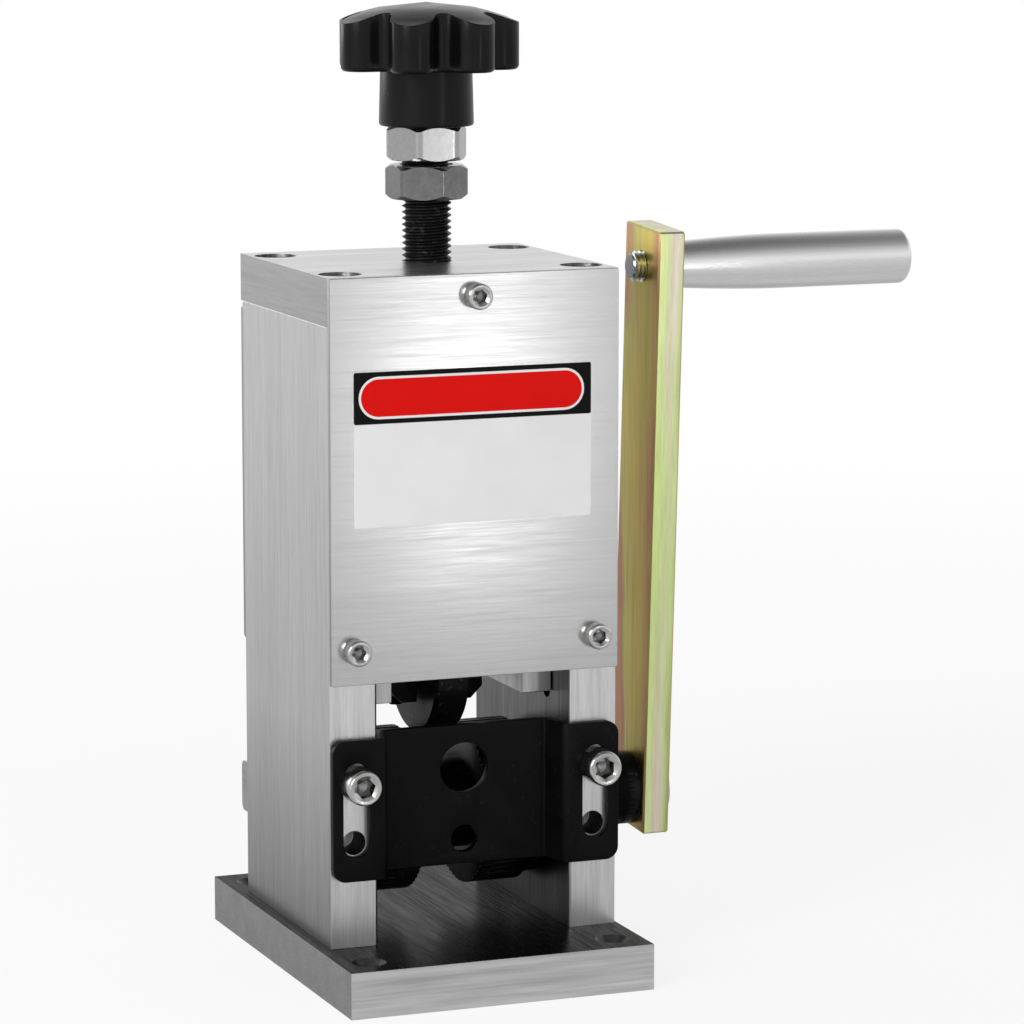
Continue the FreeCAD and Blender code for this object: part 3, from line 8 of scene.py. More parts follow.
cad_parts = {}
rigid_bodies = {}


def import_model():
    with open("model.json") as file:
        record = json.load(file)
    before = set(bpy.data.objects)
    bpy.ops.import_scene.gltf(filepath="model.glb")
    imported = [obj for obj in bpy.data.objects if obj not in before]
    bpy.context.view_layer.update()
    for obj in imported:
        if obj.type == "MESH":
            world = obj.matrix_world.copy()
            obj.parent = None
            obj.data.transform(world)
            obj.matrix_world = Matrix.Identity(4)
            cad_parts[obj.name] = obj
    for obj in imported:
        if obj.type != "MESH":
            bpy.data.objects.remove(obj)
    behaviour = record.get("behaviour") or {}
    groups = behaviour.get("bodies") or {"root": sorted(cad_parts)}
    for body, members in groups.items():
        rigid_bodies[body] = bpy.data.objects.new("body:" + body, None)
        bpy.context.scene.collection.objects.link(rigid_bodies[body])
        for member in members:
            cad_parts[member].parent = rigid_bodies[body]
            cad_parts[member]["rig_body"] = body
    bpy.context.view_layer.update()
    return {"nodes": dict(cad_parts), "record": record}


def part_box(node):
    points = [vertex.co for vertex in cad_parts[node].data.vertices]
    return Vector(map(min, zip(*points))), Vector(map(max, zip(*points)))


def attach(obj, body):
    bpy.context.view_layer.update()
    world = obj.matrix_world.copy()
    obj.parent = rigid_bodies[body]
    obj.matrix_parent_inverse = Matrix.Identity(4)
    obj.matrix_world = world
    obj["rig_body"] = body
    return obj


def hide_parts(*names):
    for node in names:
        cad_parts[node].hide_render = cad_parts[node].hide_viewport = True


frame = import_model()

# Looks of the hand crank wire stripper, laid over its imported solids. Metres, in the solids' frame:
# the front is on -Y, the crank on +X and the bench top is Z = 0.

MM = 0.001
WELD = 2e-6  # distance under which two points of a solid's mesh are one, in metres


def corners(node):
    """Lowest and highest corner of a node of the solids."""
    low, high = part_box(node)
    return Vector(low), Vector(high)


# Shader node groups, each built once

def new_group(name, inputs, outputs):
    tree = bpy.data.node_groups.new(name, "ShaderNodeTree")
    for label, kind, start in inputs:
        socket = tree.interface.new_socket(label, in_out="INPUT", socket_type="NodeSocket" + kind)
        if start is not None:
            socket.default_value = start
    for label, kind in outputs:
        tree.interface.new_socket(label, in_out="OUTPUT", socket_type="NodeSocket" + kind)
    return tree, tree.nodes.new("NodeGroupInput"), tree.nodes.new("NodeGroupOutput")


def add_noise(tree, vector, scale, detail, roughness):
    noise = tree.nodes.new("ShaderNodeTexNoise")
    noise.inputs["Detail"].default_value = detail
    noise.inputs["Roughness"].default_value = roughness
    tree.links.new(vector, noise.inputs["Vector"])
    if isinstance(scale, (int, float)):
        noise.inputs["Scale"].default_value = scale
    else:
        tree.links.new(scale, noise.inputs["Scale"])
    return noise.outputs["Fac"]


def add_math(tree, operation, first, second=None, clamp=False):
    node = tree.nodes.new("ShaderNodeMath")
    node.operation = operation
    node.use_clamp = clamp
    for socket, given in zip(node.inputs, (first, second)):
        if given is None:
            continue
        if isinstance(given, (int, float)):
            socket.default_value = given
        else:
            tree.links.new(given, socket)
    return node.outputs[0]


def add_range(tree, number, low, high, out_low, out_high):
    node = tree.nodes.new("ShaderNodeMapRange")
    node.clamp = True
    tree.links.new(number, node.inputs["Value"])
    for label, given in (("From Min", low), ("From Max", high), ("To Min", out_low), ("To Max", out_high)):
        node.inputs[label].default_value = given
    return node.outputs["Result"]


def add_mix(tree, factor, first, second, blend="MIX"):
    node = tree.nodes.new("ShaderNodeMix")
    node.data_type = "RGBA"
    node.blend_type = blend
    for label, given in (("Factor", factor), ("A", first), ("B", second)):
        socket = [entry for entry in node.inputs
                  if entry.name == label and entry.type == ("VALUE" if label == "Factor" else "RGBA")][0]
        if isinstance(given, (int, float)):
            socket.default_value = given
        elif isinstance(given, tuple):
            socket.default_value = given + (1.0,)
        else:
            tree.links.new(given, socket)
    return [entry for entry in node.outputs if entry.type == "RGBA"][0]


def make_streak_group():
    """Drawn-out scratches of a brushed or ground surface: their tone and their relief."""
    tree, given, result = new_group(
        "brushed streaks",
        [("Place", "Vector", None), ("Cloud Scale", "Float", 0.05)],
        [("Tone", "Float"), ("Height", "Float")])
    place = given.outputs["Place"]
    fine = add_noise(tree, place, 1.0, 3.0, 0.62)
    long_fine = add_noise(tree, place, 0.37, 2.0, 0.5)
    cloud = add_noise(tree, place, given.outputs["Cloud Scale"], 2.0, 0.5)
    both = add_math(tree, "ADD", add_math(tree, "MULTIPLY", fine, 0.45),
                    add_math(tree, "MULTIPLY", long_fine, 0.30))
    tone = add_math(tree, "ADD", both, add_math(tree, "MULTIPLY", cloud, 0.25))
    tree.links.new(add_range(tree, tone, 0.36, 0.64, 0.0, 1.0), result.inputs["Tone"])
    tree.links.new(both, result.inputs["Height"])
    return tree


def make_fleck_group():
    """Fine specks of a cast, blasted or oxide surface, and soft patches over it."""
    tree, given, result = new_group(
        "fine flecks",
        [("Place", "Vector", None), ("Grain Scale", "Float", 3000.0), ("Patch Scale", "Float", 60.0)],
        [("Grain", "Float"), ("Patch", "Float")])
    grain = add_noise(tree, given.outputs["Place"], given.outputs["Grain Scale"], 2.0, 0.5)
    patch = add_noise(tree, given.outputs["Place"], given.outputs["Patch Scale"], 3.0, 0.55)
    tree.links.new(add_range(tree, grain, 0.32, 0.68, 0.0, 1.0), result.inputs["Grain"])
    tree.links.new(add_range(tree, patch, 0.30, 0.70, 0.0, 1.0), result.inputs["Patch"])
    return tree


def make_rub_group():
    """Bright rubbed marks, few and thin, that cross a dark coat."""
    tree, given, result = new_group(
        "rub marks", [("Place", "Vector", None), ("Amount", "Float", 0.5)], [("Mask", "Float")])
    swirl = add_noise(tree, given.outputs["Place"], 40.0, 4.0, 0.7)
    speck = add_noise(tree, given.outputs["Place"], 420.0, 2.0, 0.6)
    edge = add_math(tree, "ABSOLUTE", add_math(tree, "SUBTRACT", swirl, 0.5))
    line = add_range(tree, edge, 0.0, 0.012, 1.0, 0.0)
    spots = add_range(tree, speck, 0.52, 0.62, 0.0, 1.0)
    mask = add_math(tree, "MULTIPLY", add_math(tree, "MULTIPLY", line, spots), given.outputs["Amount"], True)
    tree.links.new(mask, result.inputs["Mask"])
    return tree


STREAKS = make_streak_group()
FLECKS = make_fleck_group()
RUBS = make_rub_group()


def use_group(tree, group, vector, **settings):
    node = tree.nodes.new("ShaderNodeGroup")
    node.node_tree = group
    tree.links.new(vector, node.inputs["Place"])
    for label, given in settings.items():
        node.inputs[label.replace("_", " ")].default_value = given
    return node


RELIEF = 0.0002  # depth of the bump patterns at strength 1, in metres


def new_material(name, colour, roughness, metallic=0.0, **sockets):
    """A material with its Principled shader; every constant is set on the shader itself."""
    material = bpy.data.materials.new(name)
    material.use_nodes = True
    shader = material.node_tree.nodes["Principled BSDF"]
    shader.inputs["Base Color"].default_value = colour + (1.0,)
    shader.inputs["Roughness"].default_value = roughness
    shader.inputs["Metallic"].default_value = metallic
    for label, given in sockets.items():
        shader.inputs[label.replace("_", " ")].default_value = given
    return material, material.node_tree, shader


def object_place(tree, scale=(1.0, 1.0, 1.0), turn=(0.0, 0.0, 0.0)):
    """Object coordinates, turned and stretched for a pattern."""
    coordinates = tree.nodes.new("ShaderNodeTexCoord")
    mapping = tree.nodes.new("ShaderNodeMapping")
    mapping.inputs["Scale"].default_value = scale
    mapping.inputs["Rotation"].default_value = turn
    tree.links.new(coordinates.outputs["Object"], mapping.inputs["Vector"])
    return mapping.outputs["Vector"]


def add_bump(tree, shader, height, strength):
    """Fine relief on the shader's normal."""
    bump = tree.nodes.new("ShaderNodeBump")
    bump.inputs["Strength"].default_value = strength
    bump.inputs["Distance"].default_value = RELIEF
    tree.links.new(height, bump.inputs["Height"])
    tree.links.new(bump.outputs["Normal"], shader.inputs["Normal"])


def facing_mask(tree, axis):
    """1 on faces that look along the axis, 0 on the others."""
    coordinates = tree.nodes.new("ShaderNodeTexCoord")
    split = tree.nodes.new("ShaderNodeSeparateXYZ")
    tree.links.new(coordinates.outputs["Normal"], split.inputs[0])
    return add_range(tree, add_math(tree, "ABSOLUTE", split.outputs[axis]), 0.55, 0.8, 0.0, 1.0)


def brushed_metal(name, dark, light, grain, turn=(0.0, 0.0, 0.0), rough=(0.26, 0.4), bump=0.12,
                  others=(), inside=None, foot=None, **sockets):
    """Brushed plate. Each of others = (axis, dark, light, grain, turn, rough) is for the faces along that axis,
    inside = (reach, dark, light) is painted shade, a darker tone for the metal nearer than reach to the middle
    plane, and foot = (low, high, share) darkens the faces along X by a share as painted shade, from height high
    down to low."""
    material, tree, shader = new_material(name, light, rough[0], 1.0, **sockets)
    streaks = use_group(tree, STREAKS, object_place(tree, grain, turn))
    height = streaks.outputs["Height"]
    colour = add_mix(tree, streaks.outputs["Tone"], dark, light)
    polish = add_range(tree, streaks.outputs["Tone"], 0.0, 1.0, rough[1], rough[0])
    for axis, other_dark, other_light, other_grain, other_turn, other_rough in others:
        mask = facing_mask(tree, axis)
        second = use_group(tree, STREAKS, object_place(tree, other_grain, other_turn))
        tone = second.outputs["Tone"]
        colour = add_mix(tree, mask, colour, add_mix(tree, tone, other_dark, other_light))
        height = blend_value(tree, mask, height, second.outputs["Height"])
        polish = blend_value(tree, mask, polish,
                             add_range(tree, tone, 0.0, 1.0, other_rough[1], other_rough[0]))
    # Painted shade: the metal nearer than reach to the middle plane is painted darker, as the shade inside the
    # housing.
    if inside is not None:
        reach, inner_dark, inner_light = inside
        split = tree.nodes.new("ShaderNodeSeparateXYZ")
        tree.links.new(object_place(tree), split.inputs[0])
        mask = add_range(tree, add_math(tree, "ABSOLUTE", split.outputs["X"]), reach - 0.0002, reach, 1.0, 0.0)
        colour = add_mix(tree, mask, colour, add_mix(tree, streaks.outputs["Tone"], inner_dark, inner_light))
    # Painted shade: the faces along X grow darker towards the bottom.
    if foot is not None:
        low, high, share = foot
        split = tree.nodes.new("ShaderNodeSeparateXYZ")
        tree.links.new(object_place(tree), split.inputs[0])
        mask = add_math(tree, "MULTIPLY", add_range(tree, split.outputs["Z"], low, high, 1.0, 0.0),
                        facing_mask(tree, 0))
        colour = add_mix(tree, mask, colour, add_mix(tree, 1.0, colour, (share, share, share), "MULTIPLY"))
    tree.links.new(colour, shader.inputs["Base Color"])
    tree.links.new(polish, shader.inputs["Roughness"])
    add_bump(tree, shader, height, bump)
    return material


def blend_value(tree, mask, first, second):
    """A value that goes from first to second as the mask goes from 0 to 1."""
    node = tree.nodes.new("ShaderNodeMix")
    node.data_type = "FLOAT"
    tree.links.new(mask, node.inputs[0])
    tree.links.new(first, node.inputs[2])
    tree.links.new(second, node.inputs[3])
    return node.outputs[0]


def dark_metal(name, colour, worn, roughness, rub, grain_bump=0.06, metallic=0.6, **sockets):
    """Black oxide or black paint: fine grain, soft patches and a few rubbed marks."""
    material, tree, shader = new_material(name, colour, roughness, metallic, **sockets)
    place = object_place(tree)
    flecks = use_group(tree, FLECKS, place, Grain_Scale=2600.0, Patch_Scale=55.0)
    rubs = use_group(tree, RUBS, place, Amount=rub)
    patchy = add_mix(tree, flecks.outputs["Patch"], colour, tuple(part * 1.6 + 0.001 for part in colour))
    tree.links.new(add_mix(tree, rubs.outputs["Mask"], patchy, worn), shader.inputs["Base Color"])
    tree.links.new(add_range(tree, flecks.outputs["Patch"], 0.0, 1.0, roughness * 0.85, roughness * 1.2),
                   shader.inputs["Roughness"])
    add_bump(tree, shader, flecks.outputs["Grain"], grain_bump)
    return material


LEAN = math.radians(3.3)  # the crank arm's lean at rest, about X
ARM_X = (0.0714, 0.0807)  # the arm's two wide faces, in metres
ARM_HALF_DEPTH = 0.0145
ARM_MIDDLE_Z = 0.135


def make_zinc():
    """Yellow passivated zinc on the arm: olive gold with green, mauve and red drifts."""
    material, tree, shader = new_material("yellow passivated zinc", (0.6, 0.55, 0.3), 0.3, 1.0)
    place = object_place(tree, (1.0, 1.0, 1.0), (-LEAN, 0.0, 0.0))
    split = tree.nodes.new("ShaderNodeSeparateXYZ")
    tree.links.new(place, split.inputs[0])
    drift = add_noise(tree, object_place(tree, (30.0, 30.0, 9.0)), 1.0, 3.0, 0.5)
    across = add_range(tree, split.outputs["X"], *ARM_X, 0.0, 1.0)
    wander = add_math(tree, "ADD", across, add_range(tree, drift, 0.3, 0.7, -0.22, 0.22), True)
    narrow = tree.nodes.new("ShaderNodeValToRGB")
    tree.links.new(wander, narrow.inputs["Fac"])
    set_ramp(narrow, [(0.0, (0.94, 0.98, 0.44)), (0.22, (0.80, 0.94, 0.46)), (0.45, (0.84, 0.74, 0.58)),
                      (0.62, (0.90, 0.80, 0.70)), (0.82, (0.74, 0.80, 0.42)), (1.0, (0.46, 0.50, 0.20))])
    depth = add_range(tree, split.outputs["Y"], -ARM_HALF_DEPTH, ARM_HALF_DEPTH, 0.0, 1.0)
    wide_wander = add_math(tree, "ADD", depth, add_range(tree, drift, 0.3, 0.7, -0.28, 0.28), True)
    wide = tree.nodes.new("ShaderNodeValToRGB")
    tree.links.new(wide_wander, wide.inputs["Fac"])
    set_ramp(wide, [(0.0, (0.52, 0.20, 0.14)), (0.12, (0.62, 0.34, 0.13)), (0.35, (0.64, 0.50, 0.11)),
                    (0.7, (0.60, 0.49, 0.11)), (0.9, (0.54, 0.47, 0.13)), (1.0, (0.50, 0.26, 0.14))])
    mask = facing_mask(tree, 0)
    middle = add_math(tree, "ABSOLUTE", add_math(tree, "SUBTRACT", split.outputs["Z"], ARM_MIDDLE_Z))
    green = add_mix(tree, add_range(tree, middle, 0.02, 0.09, 0.65, 0.0), narrow.outputs["Color"],
                    (0.68, 0.84, 0.32))
    colour = add_mix(tree, mask, green, wide.outputs["Color"])
    streaks = use_group(tree, STREAKS, object_place(tree, (1600.0, 1600.0, 45.0), (-LEAN, 0.0, 0.0)))
    shade = add_mix(tree, streaks.outputs["Tone"], (0.8, 0.8, 0.78), (1.0, 1.0, 1.0))
    tree.links.new(add_mix(tree, 1.0, colour, shade, "MULTIPLY"), shader.inputs["Base Color"])
    tree.links.new(add_range(tree, streaks.outputs["Tone"], 0.0, 1.0, 0.42, 0.26), shader.inputs["Roughness"])
    add_bump(tree, shader, streaks.outputs["Height"], 0.1)
    return material


def set_ramp(node, stops):
    """Give a colour ramp its stops, each a place from 0 to 1 and a colour."""
    ramp = node.color_ramp
    while len(ramp.elements) < len(stops):
        ramp.elements.new(0.5)
    for element, (place, colour) in zip(ramp.elements, stops):
        element.position = place
        element.color = colour + (1.0,)


def make_knob_plastic():
    """Black moulded plastic with soft patches of gloss."""
    material, tree, shader = new_material("black moulded plastic", (0.003, 0.003, 0.0033), 0.24, 0.0,
                                          Specular_IOR_Level=0.18)
    flecks = use_group(tree, FLECKS, object_place(tree), Grain_Scale=1500.0, Patch_Scale=90.0)
    tree.links.new(add_range(tree, flecks.outputs["Patch"], 0.0, 1.0, 0.20, 0.30), shader.inputs["Roughness"])
    add_bump(tree, shader, flecks.outputs["Grain"], 0.03)
    return material


def make_paint(name, colour, roughness):
    """Satin paint with faint cloudiness."""
    material, tree, shader = new_material(name, colour, roughness, Specular_IOR_Level=0.08)
    flecks = use_group(tree, FLECKS, object_place(tree), Grain_Scale=900.0, Patch_Scale=30.0)
    tree.links.new(add_mix(tree, flecks.outputs["Patch"], colour, tuple(part * 0.93 for part in colour)),
                   shader.inputs["Base Color"])
    tree.links.new(add_range(tree, flecks.outputs["Grain"], 0.0, 1.0, roughness * 0.9, roughness * 1.15),
                   shader.inputs["Roughness"])
    add_bump(tree, shader, flecks.outputs["Grain"], 0.02)
    return material


# Noise scales along X, Y and Z: scratches run where the scale is small
ALONG_Z = (2400.0, 2400.0, 70.0)
ALONG_X = (60.0, 2400.0, 2400.0)
ALONG_Y = (2400.0, 60.0, 2400.0)
TURNED = (2400.0, 30.0, 30.0)
DRAWN = (16.0, 700.0, 700.0)
MILLED = (20.0, 560.0, 560.0)
GROUND = (1800.0, 55.0, 1800.0)
SANDY = (2600.0, 2600.0, 2600.0)
SPECKLED = (900.0, 900.0, 900.0)
MOTTLED = (700.0, 700.0, 700.0)
LEVEL = (0.0, 0.0, 0.0)


def grey(tone):
    """A neutral metal colour."""
    return (tone, tone, tone * 1.01)


# The side plates carry painted shade: their inner faces, near the middle plane, are painted near black, and their
# faces along X are darker towards the bottom.
SIDE_METAL = brushed_metal(
    "brushed side plate", grey(0.40), grey(0.54), ALONG_Z, rough=(0.26, 0.38), bump=0.06, others=(
        (1, grey(0.47), grey(0.67), ALONG_Z, LEVEL, (0.26, 0.38)),
        (2, grey(0.46), grey(0.62), ALONG_X, LEVEL, (0.28, 0.40))), inside=(0.0334, grey(0.05), grey(0.15)),
    foot=(0.015, 0.085, 0.42))
# Painted shade for the walls of holes in the plates.
BORE_SHADE_METAL = brushed_metal("bore wall painted shade", grey(0.05), grey(0.16), SPECKLED, rough=(0.3, 0.5))
COVER_METAL = brushed_metal(
    "brushed cover sheet", grey(0.45), grey(0.54), ALONG_X, rough=(0.16, 0.24), bump=0.03, others=(
        (0, grey(0.22), grey(0.34), ALONG_Z, LEVEL, (0.28, 0.40)),))
TOP_METAL = brushed_metal(
    "ground top plate", grey(0.52), grey(0.68), ALONG_X, rough=(0.24, 0.34), others=(
        (0, grey(0.26), grey(0.37), ALONG_Y, LEVEL, (0.28, 0.40)),))
# The base plate's faces along Z are ground, and their near-black tone is painted shade.
BASE_METAL = brushed_metal(
    "milled base plate", grey(0.38), grey(0.74), MILLED, rough=(0.28, 0.40), bump=0.16, others=(
        (0, grey(0.27), grey(0.42), SANDY, LEVEL, (0.46, 0.60)),
        (2, grey(0.07), grey(0.19), GROUND, (0.0, 0.0, math.radians(4)), (0.20, 0.32))),
    Specular_Tint=(0.4, 0.4, 0.4, 1.0))
CARRIAGE_METAL = brushed_metal("brushed carriage", grey(0.34), grey(0.50), ALONG_Z, rough=(0.26, 0.38))
SCREW_METAL = brushed_metal("plated screw steel", (0.40, 0.40, 0.39), (0.58, 0.58, 0.56), SPECKLED,
                            rough=(0.18, 0.30), bump=0.04)
SOCKET_METAL = brushed_metal("shaded socket steel", grey(0.14), grey(0.30), SPECKLED,
                             rough=(0.16, 0.28), bump=0.04)
NUT_METAL = brushed_metal("plated nut steel", grey(0.41), grey(0.50), MOTTLED,
                          rough=(0.14, 0.22), bump=0.02)
# A darker copy of the plated nut steel: painted shade on the lower nut.
SHADED_NUT_METAL = brushed_metal("nut steel painted shade", grey(0.16), grey(0.26), MOTTLED,
                               rough=(0.14, 0.22), bump=0.02)
GRIP_METAL = brushed_metal("satin grip steel", grey(0.70), grey(0.80), DRAWN, rough=(0.24, 0.30), bump=0.01)
SHAFT_METAL = brushed_metal("turned shaft steel", grey(0.50), grey(0.66), TURNED, rough=(0.24, 0.36), bump=0.006)
BRONZE = brushed_metal("bearing bronze", (0.42, 0.27, 0.13), (0.62, 0.42, 0.22), (1200.0, 200.0, 200.0),
                       rough=(0.3, 0.45), bump=0.05)
BLACK_OXIDE = dark_metal("black oxide steel", (0.004, 0.004, 0.0045), (0.14, 0.14, 0.14), 0.36, 0.4,
                         metallic=0.0, Specular_IOR_Level=0.12)
BLACK_PAINT = dark_metal("black coated sheet", (0.0015, 0.0015, 0.0017), (0.05, 0.05, 0.05), 0.42, 0.15,
                         grain_bump=0.10, metallic=0.0, Specular_IOR_Level=0.08)
HUB_BLACK = dark_metal("black hub", (0.004, 0.004, 0.0045), (0.16, 0.16, 0.16), 0.28, 0.4, metallic=0.0,
                       Specular_IOR_Level=0.12)
ZINC = make_zinc()
KNOB_PLASTIC = make_knob_plastic()
PLAQUE_FIELD = make_paint("plaque pale field", (0.80, 0.80, 0.80), 0.45)
PLAQUE_BLACK = make_paint("plaque black band", (0.004, 0.004, 0.004), 0.45)
PLAQUE_RED = make_paint("plaque red panel", (0.70, 0.005, 0.003), 0.42)


# Mesh helpers: each piece is shaped by bmesh operators and ends with its place in its mesh

def finish_piece(name, shape, body, material, slot, *nodes, angle=32.0, second=None):
    """Turn a bmesh into a piece that rides on a body and stands for the given nodes."""
    mesh = bpy.data.meshes.new(name)
    shape.to_mesh(mesh)
    shape.free()
    mesh.shade_smooth()
    mesh.set_sharp_from_angle(angle=math.radians(angle))
    piece = bpy.data.objects.new(name, mesh)
    bpy.context.scene.collection.objects.link(piece)
    mesh.materials.append(material)
    if second is not None:
        mesh.materials.append(second)
    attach(piece, body)
    if nodes:
        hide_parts(*nodes)
    return piece


def body_of_node(node):
    return frame["nodes"][node]["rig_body"]


def slot_of_node(node):
    return [part["material_slot"] for part in frame["record"]["subparts"] if part["node"] == node][0]


def welded(node, dissolve=True):
    """A welded copy of a node's solid, with its flat faces whole again."""
    shape = bmesh.new()
    shape.from_mesh(frame["nodes"][node].data)
    bmesh.ops.remove_doubles(shape, verts=shape.verts, dist=WELD)
    if dissolve:
        bmesh.ops.dissolve_limit(shape, angle_limit=math.radians(0.6), verts=shape.verts, edges=shape.edges)
    return shape


def sharp_edges(shape, angle):
    return [edge for edge in shape.edges
            if len(edge.link_faces) == 2 and edge.calc_face_angle(0.0) > math.radians(angle)]


def bevel(shape, edges, width, segments=2):
    bmesh.ops.bevel(shape, geom=edges, offset=width, offset_type="OFFSET", affect="EDGES",
                    segments=segments, profile=0.5, material=-1, clamp_overlap=True)


def softened(node, material, width=0.3, segments=2, angle=50.0, bore_shade=None):
    """The node's own shape with its sharp edges broken, as a deburred part has them."""
    shape = welded(node)
    # Painted shade: the curved faces, the walls of holes, take the second material, a dark tone.
    if bore_shade is not None:
        for face in shape.faces:
            if any(2.0 < math.degrees(edge.calc_face_angle(0.0)) < 40.0 for edge in face.edges):
                face.material_index = 1
    bevel(shape, sharp_edges(shape, angle), width * MM, segments)
    return finish_piece(node + "_finish", shape, body_of_node(node), material, slot_of_node(node), node,
                        angle=20.0, second=bore_shade)


def smoothed(node, material, angle=32.0):
    """The node's own shape, welded and shaded round where it is round."""
    shape = welded(node, dissolve=False)
    return finish_piece(node + "_finish", shape, body_of_node(node), material, slot_of_node(node), node,
                        angle=angle)


def spin_profile(profile, segments=64):
    """A turned shape about Z from (radius, height) points in millimetres, ends on the axis or joined."""
    shape = bmesh.new()
    verts = [shape.verts.new((radius * MM, 0.0, height * MM)) for radius, height in profile]
    edges = [shape.edges.new(pair) for pair in zip(verts, verts[1:])]
    if profile[0][0] > 0.0 or profile[-1][0] > 0.0:
        edges.append(shape.edges.new((verts[-1], verts[0])))
    bmesh.ops.spin(shape, geom=verts + edges, cent=(0, 0, 0), axis=(0, 0, 1), dvec=(0, 0, 0),
                   angle=2 * math.pi, steps=segments, use_merge=True, use_duplicate=False)
    bmesh.ops.remove_doubles(shape, verts=shape.verts, dist=1e-7)
    bmesh.ops.recalc_face_normals(shape, faces=shape.faces)
    return shape


def rounded(profile, radius, index, steps=5):
    """The profile with one corner replaced by an arc."""
    before, corner, after = (Vector(profile[index + offset]) for offset in (-1, 0, 1))
    to_before = (before - corner).normalized()
    to_after = (after - corner).normalized()
    half = to_before.angle(to_after) / 2
    reach = radius / math.tan(half)
    centre = corner + (to_before + to_after).normalized() * (radius / math.sin(half))
    start = corner + to_before * reach - centre
    finish = corner + to_after * reach - centre
    turn = start.angle_signed(finish)
    points = []
    for step in range(steps + 1):
        spoke = start.copy()
        spoke.rotate(Matrix.Rotation(-turn * step / steps, 2))
        points.append(tuple(centre + spoke))
    return profile[:index] + points + profile[index + 1:]


def join_shapes(shapes):
    """Several bmeshes in one."""
    whole = bmesh.new()
    for shape in shapes:
        mesh = bpy.data.meshes.new("part of a piece")
        shape.to_mesh(mesh)
        shape.free()
        whole.from_mesh(mesh)
        bpy.data.meshes.remove(mesh)
    return whole


def moved(shape, matrix):
    bmesh.ops.transform(shape, matrix=matrix, verts=shape.verts)
    return shape


FACING = {
    "up": Matrix.Identity(4),
    "down": Matrix.Rotation(math.pi, 4, "X"),
    "front": Matrix.Rotation(math.pi / 2, 4, "X"),
    "back": Matrix.Rotation(-math.pi / 2, 4, "X"),
    "right": Matrix.Rotation(math.pi / 2, 4, "Y"),
}


def stand(shape, spot, facing, turn=0.0):
    """Move a shape built along +Z to a spot in millimetres, its +Z facing the given way."""
    place = Matrix.Translation(Vector(spot) * MM) @ FACING[facing] @ Matrix.Rotation(turn, 4, "Z")
    return moved(shape, place)


def threaded_rod(radius, pitch, low, high, segments=28):
    """A rod about Z with a helical V thread, in millimetres."""
    depth = 0.54 * pitch
    turns = math.ceil((high - low) / pitch) + 2
    start = low - pitch
    shape = bmesh.new()
    root = radius - depth
    outline = [(root, 0.0), (root, 0.16), (radius, 0.46), (radius, 0.60), (root, 0.90), (root, 1.0)]
    verts = [shape.verts.new((reach * MM, 0.0, (start + part * pitch) * MM)) for reach, part in outline]
    edges = [shape.edges.new(pair) for pair in zip(verts, verts[1:])]
    bmesh.ops.spin(shape, geom=verts + edges, cent=(0, 0, 0), axis=(0, 0, 1),
                   dvec=(0, 0, pitch * MM / segments), angle=2 * math.pi * turns,
                   steps=segments * turns, use_merge=False, use_duplicate=False)
    bmesh.ops.remove_doubles(shape, verts=shape.verts, dist=WELD)
    for height, side in ((low, -1), (high, 1)):  # cut both ends flat and close them
        bmesh.ops.bisect_plane(shape, geom=shape.verts[:] + shape.edges[:] + shape.faces[:], dist=1e-8,
                               plane_co=(0, 0, height * MM), plane_no=(0, 0, side), clear_outer=True)
        rim = [edge for edge in shape.edges if edge.is_boundary
               and all(abs(vert.co.z - height * MM) < 1e-6 for vert in edge.verts)]
        bmesh.ops.holes_fill(shape, edges=rim, sides=0)
    bmesh.ops.recalc_face_normals(shape, faces=shape.faces)
    return shape


def edges_among(shape, verts):
    """The edges whose two ends are both among the verts, in mesh order."""
    chosen = set(verts)
    return [edge for edge in shape.edges if all(end in chosen for end in edge.verts)]


def raise_ring(shape, ring):
    """Pull a ring of edges out into a wall; returns the new ring's verts."""
    grown = bmesh.ops.extrude_edge_only(shape, edges=ring)["geom"]
    return list(dict.fromkeys(item for item in grown if isinstance(item, bmesh.types.BMVert)))


def ring_rows(segments, rows):
    """A shape grown ring by ring about Z; each row gives radius and height in millimetres at an angle."""
    shape = bmesh.new()
    verts = bmesh.ops.create_circle(shape, cap_ends=False, segments=segments, radius=MM)["verts"]
    for number, row in enumerate(rows):
        if number:
            verts = raise_ring(shape, edges_among(shape, verts))
        for vert in verts:
            angle = math.atan2(vert.co.y, vert.co.x)
            reach, height = row(angle)
            vert.co = Vector((math.cos(angle) * reach, math.sin(angle) * reach, height)) * MM
    bmesh.ops.remove_doubles(shape, verts=shape.verts, dist=1e-8)
    bmesh.ops.holes_fill(shape, edges=[edge for edge in shape.edges if edge.is_boundary], sides=0)
    bmesh.ops.recalc_face_normals(shape, faces=shape.faces)
    return shape


def round_row(reach, height):
    """A round row at one height."""
    return lambda angle: (reach, height)


KNURL = 0.13  # depth of the ribs round a screw head, in millimetres


def hexagon_reach(angle, flats, corner):
    """How far a hexagon's side lies at an angle, with its corners turned off at a radius."""
    from_flat = abs((angle - math.pi / 6) % (math.pi / 3) - math.pi / 6)
    return min(flats / 2 / math.cos(math.pi / 6 - from_flat), corner)


def hexagon_row(flats, corner, height, slope=0.0, start=0.0):
    """A hexagonal row whose height follows a cone outside the radius start."""
    def row(angle):
        reach = hexagon_reach(angle, flats, corner)
        return reach, height + slope * max(reach - start, 0.0)
    return row


def ribbed_row(reach, height, segments):
    """A round row whose every second point lies lower, as knurling does."""
    def row(angle):
        step = round((angle % (2 * math.pi)) / (2 * math.pi / segments))
        return (reach - KNURL if step % 2 else reach), height
    return row


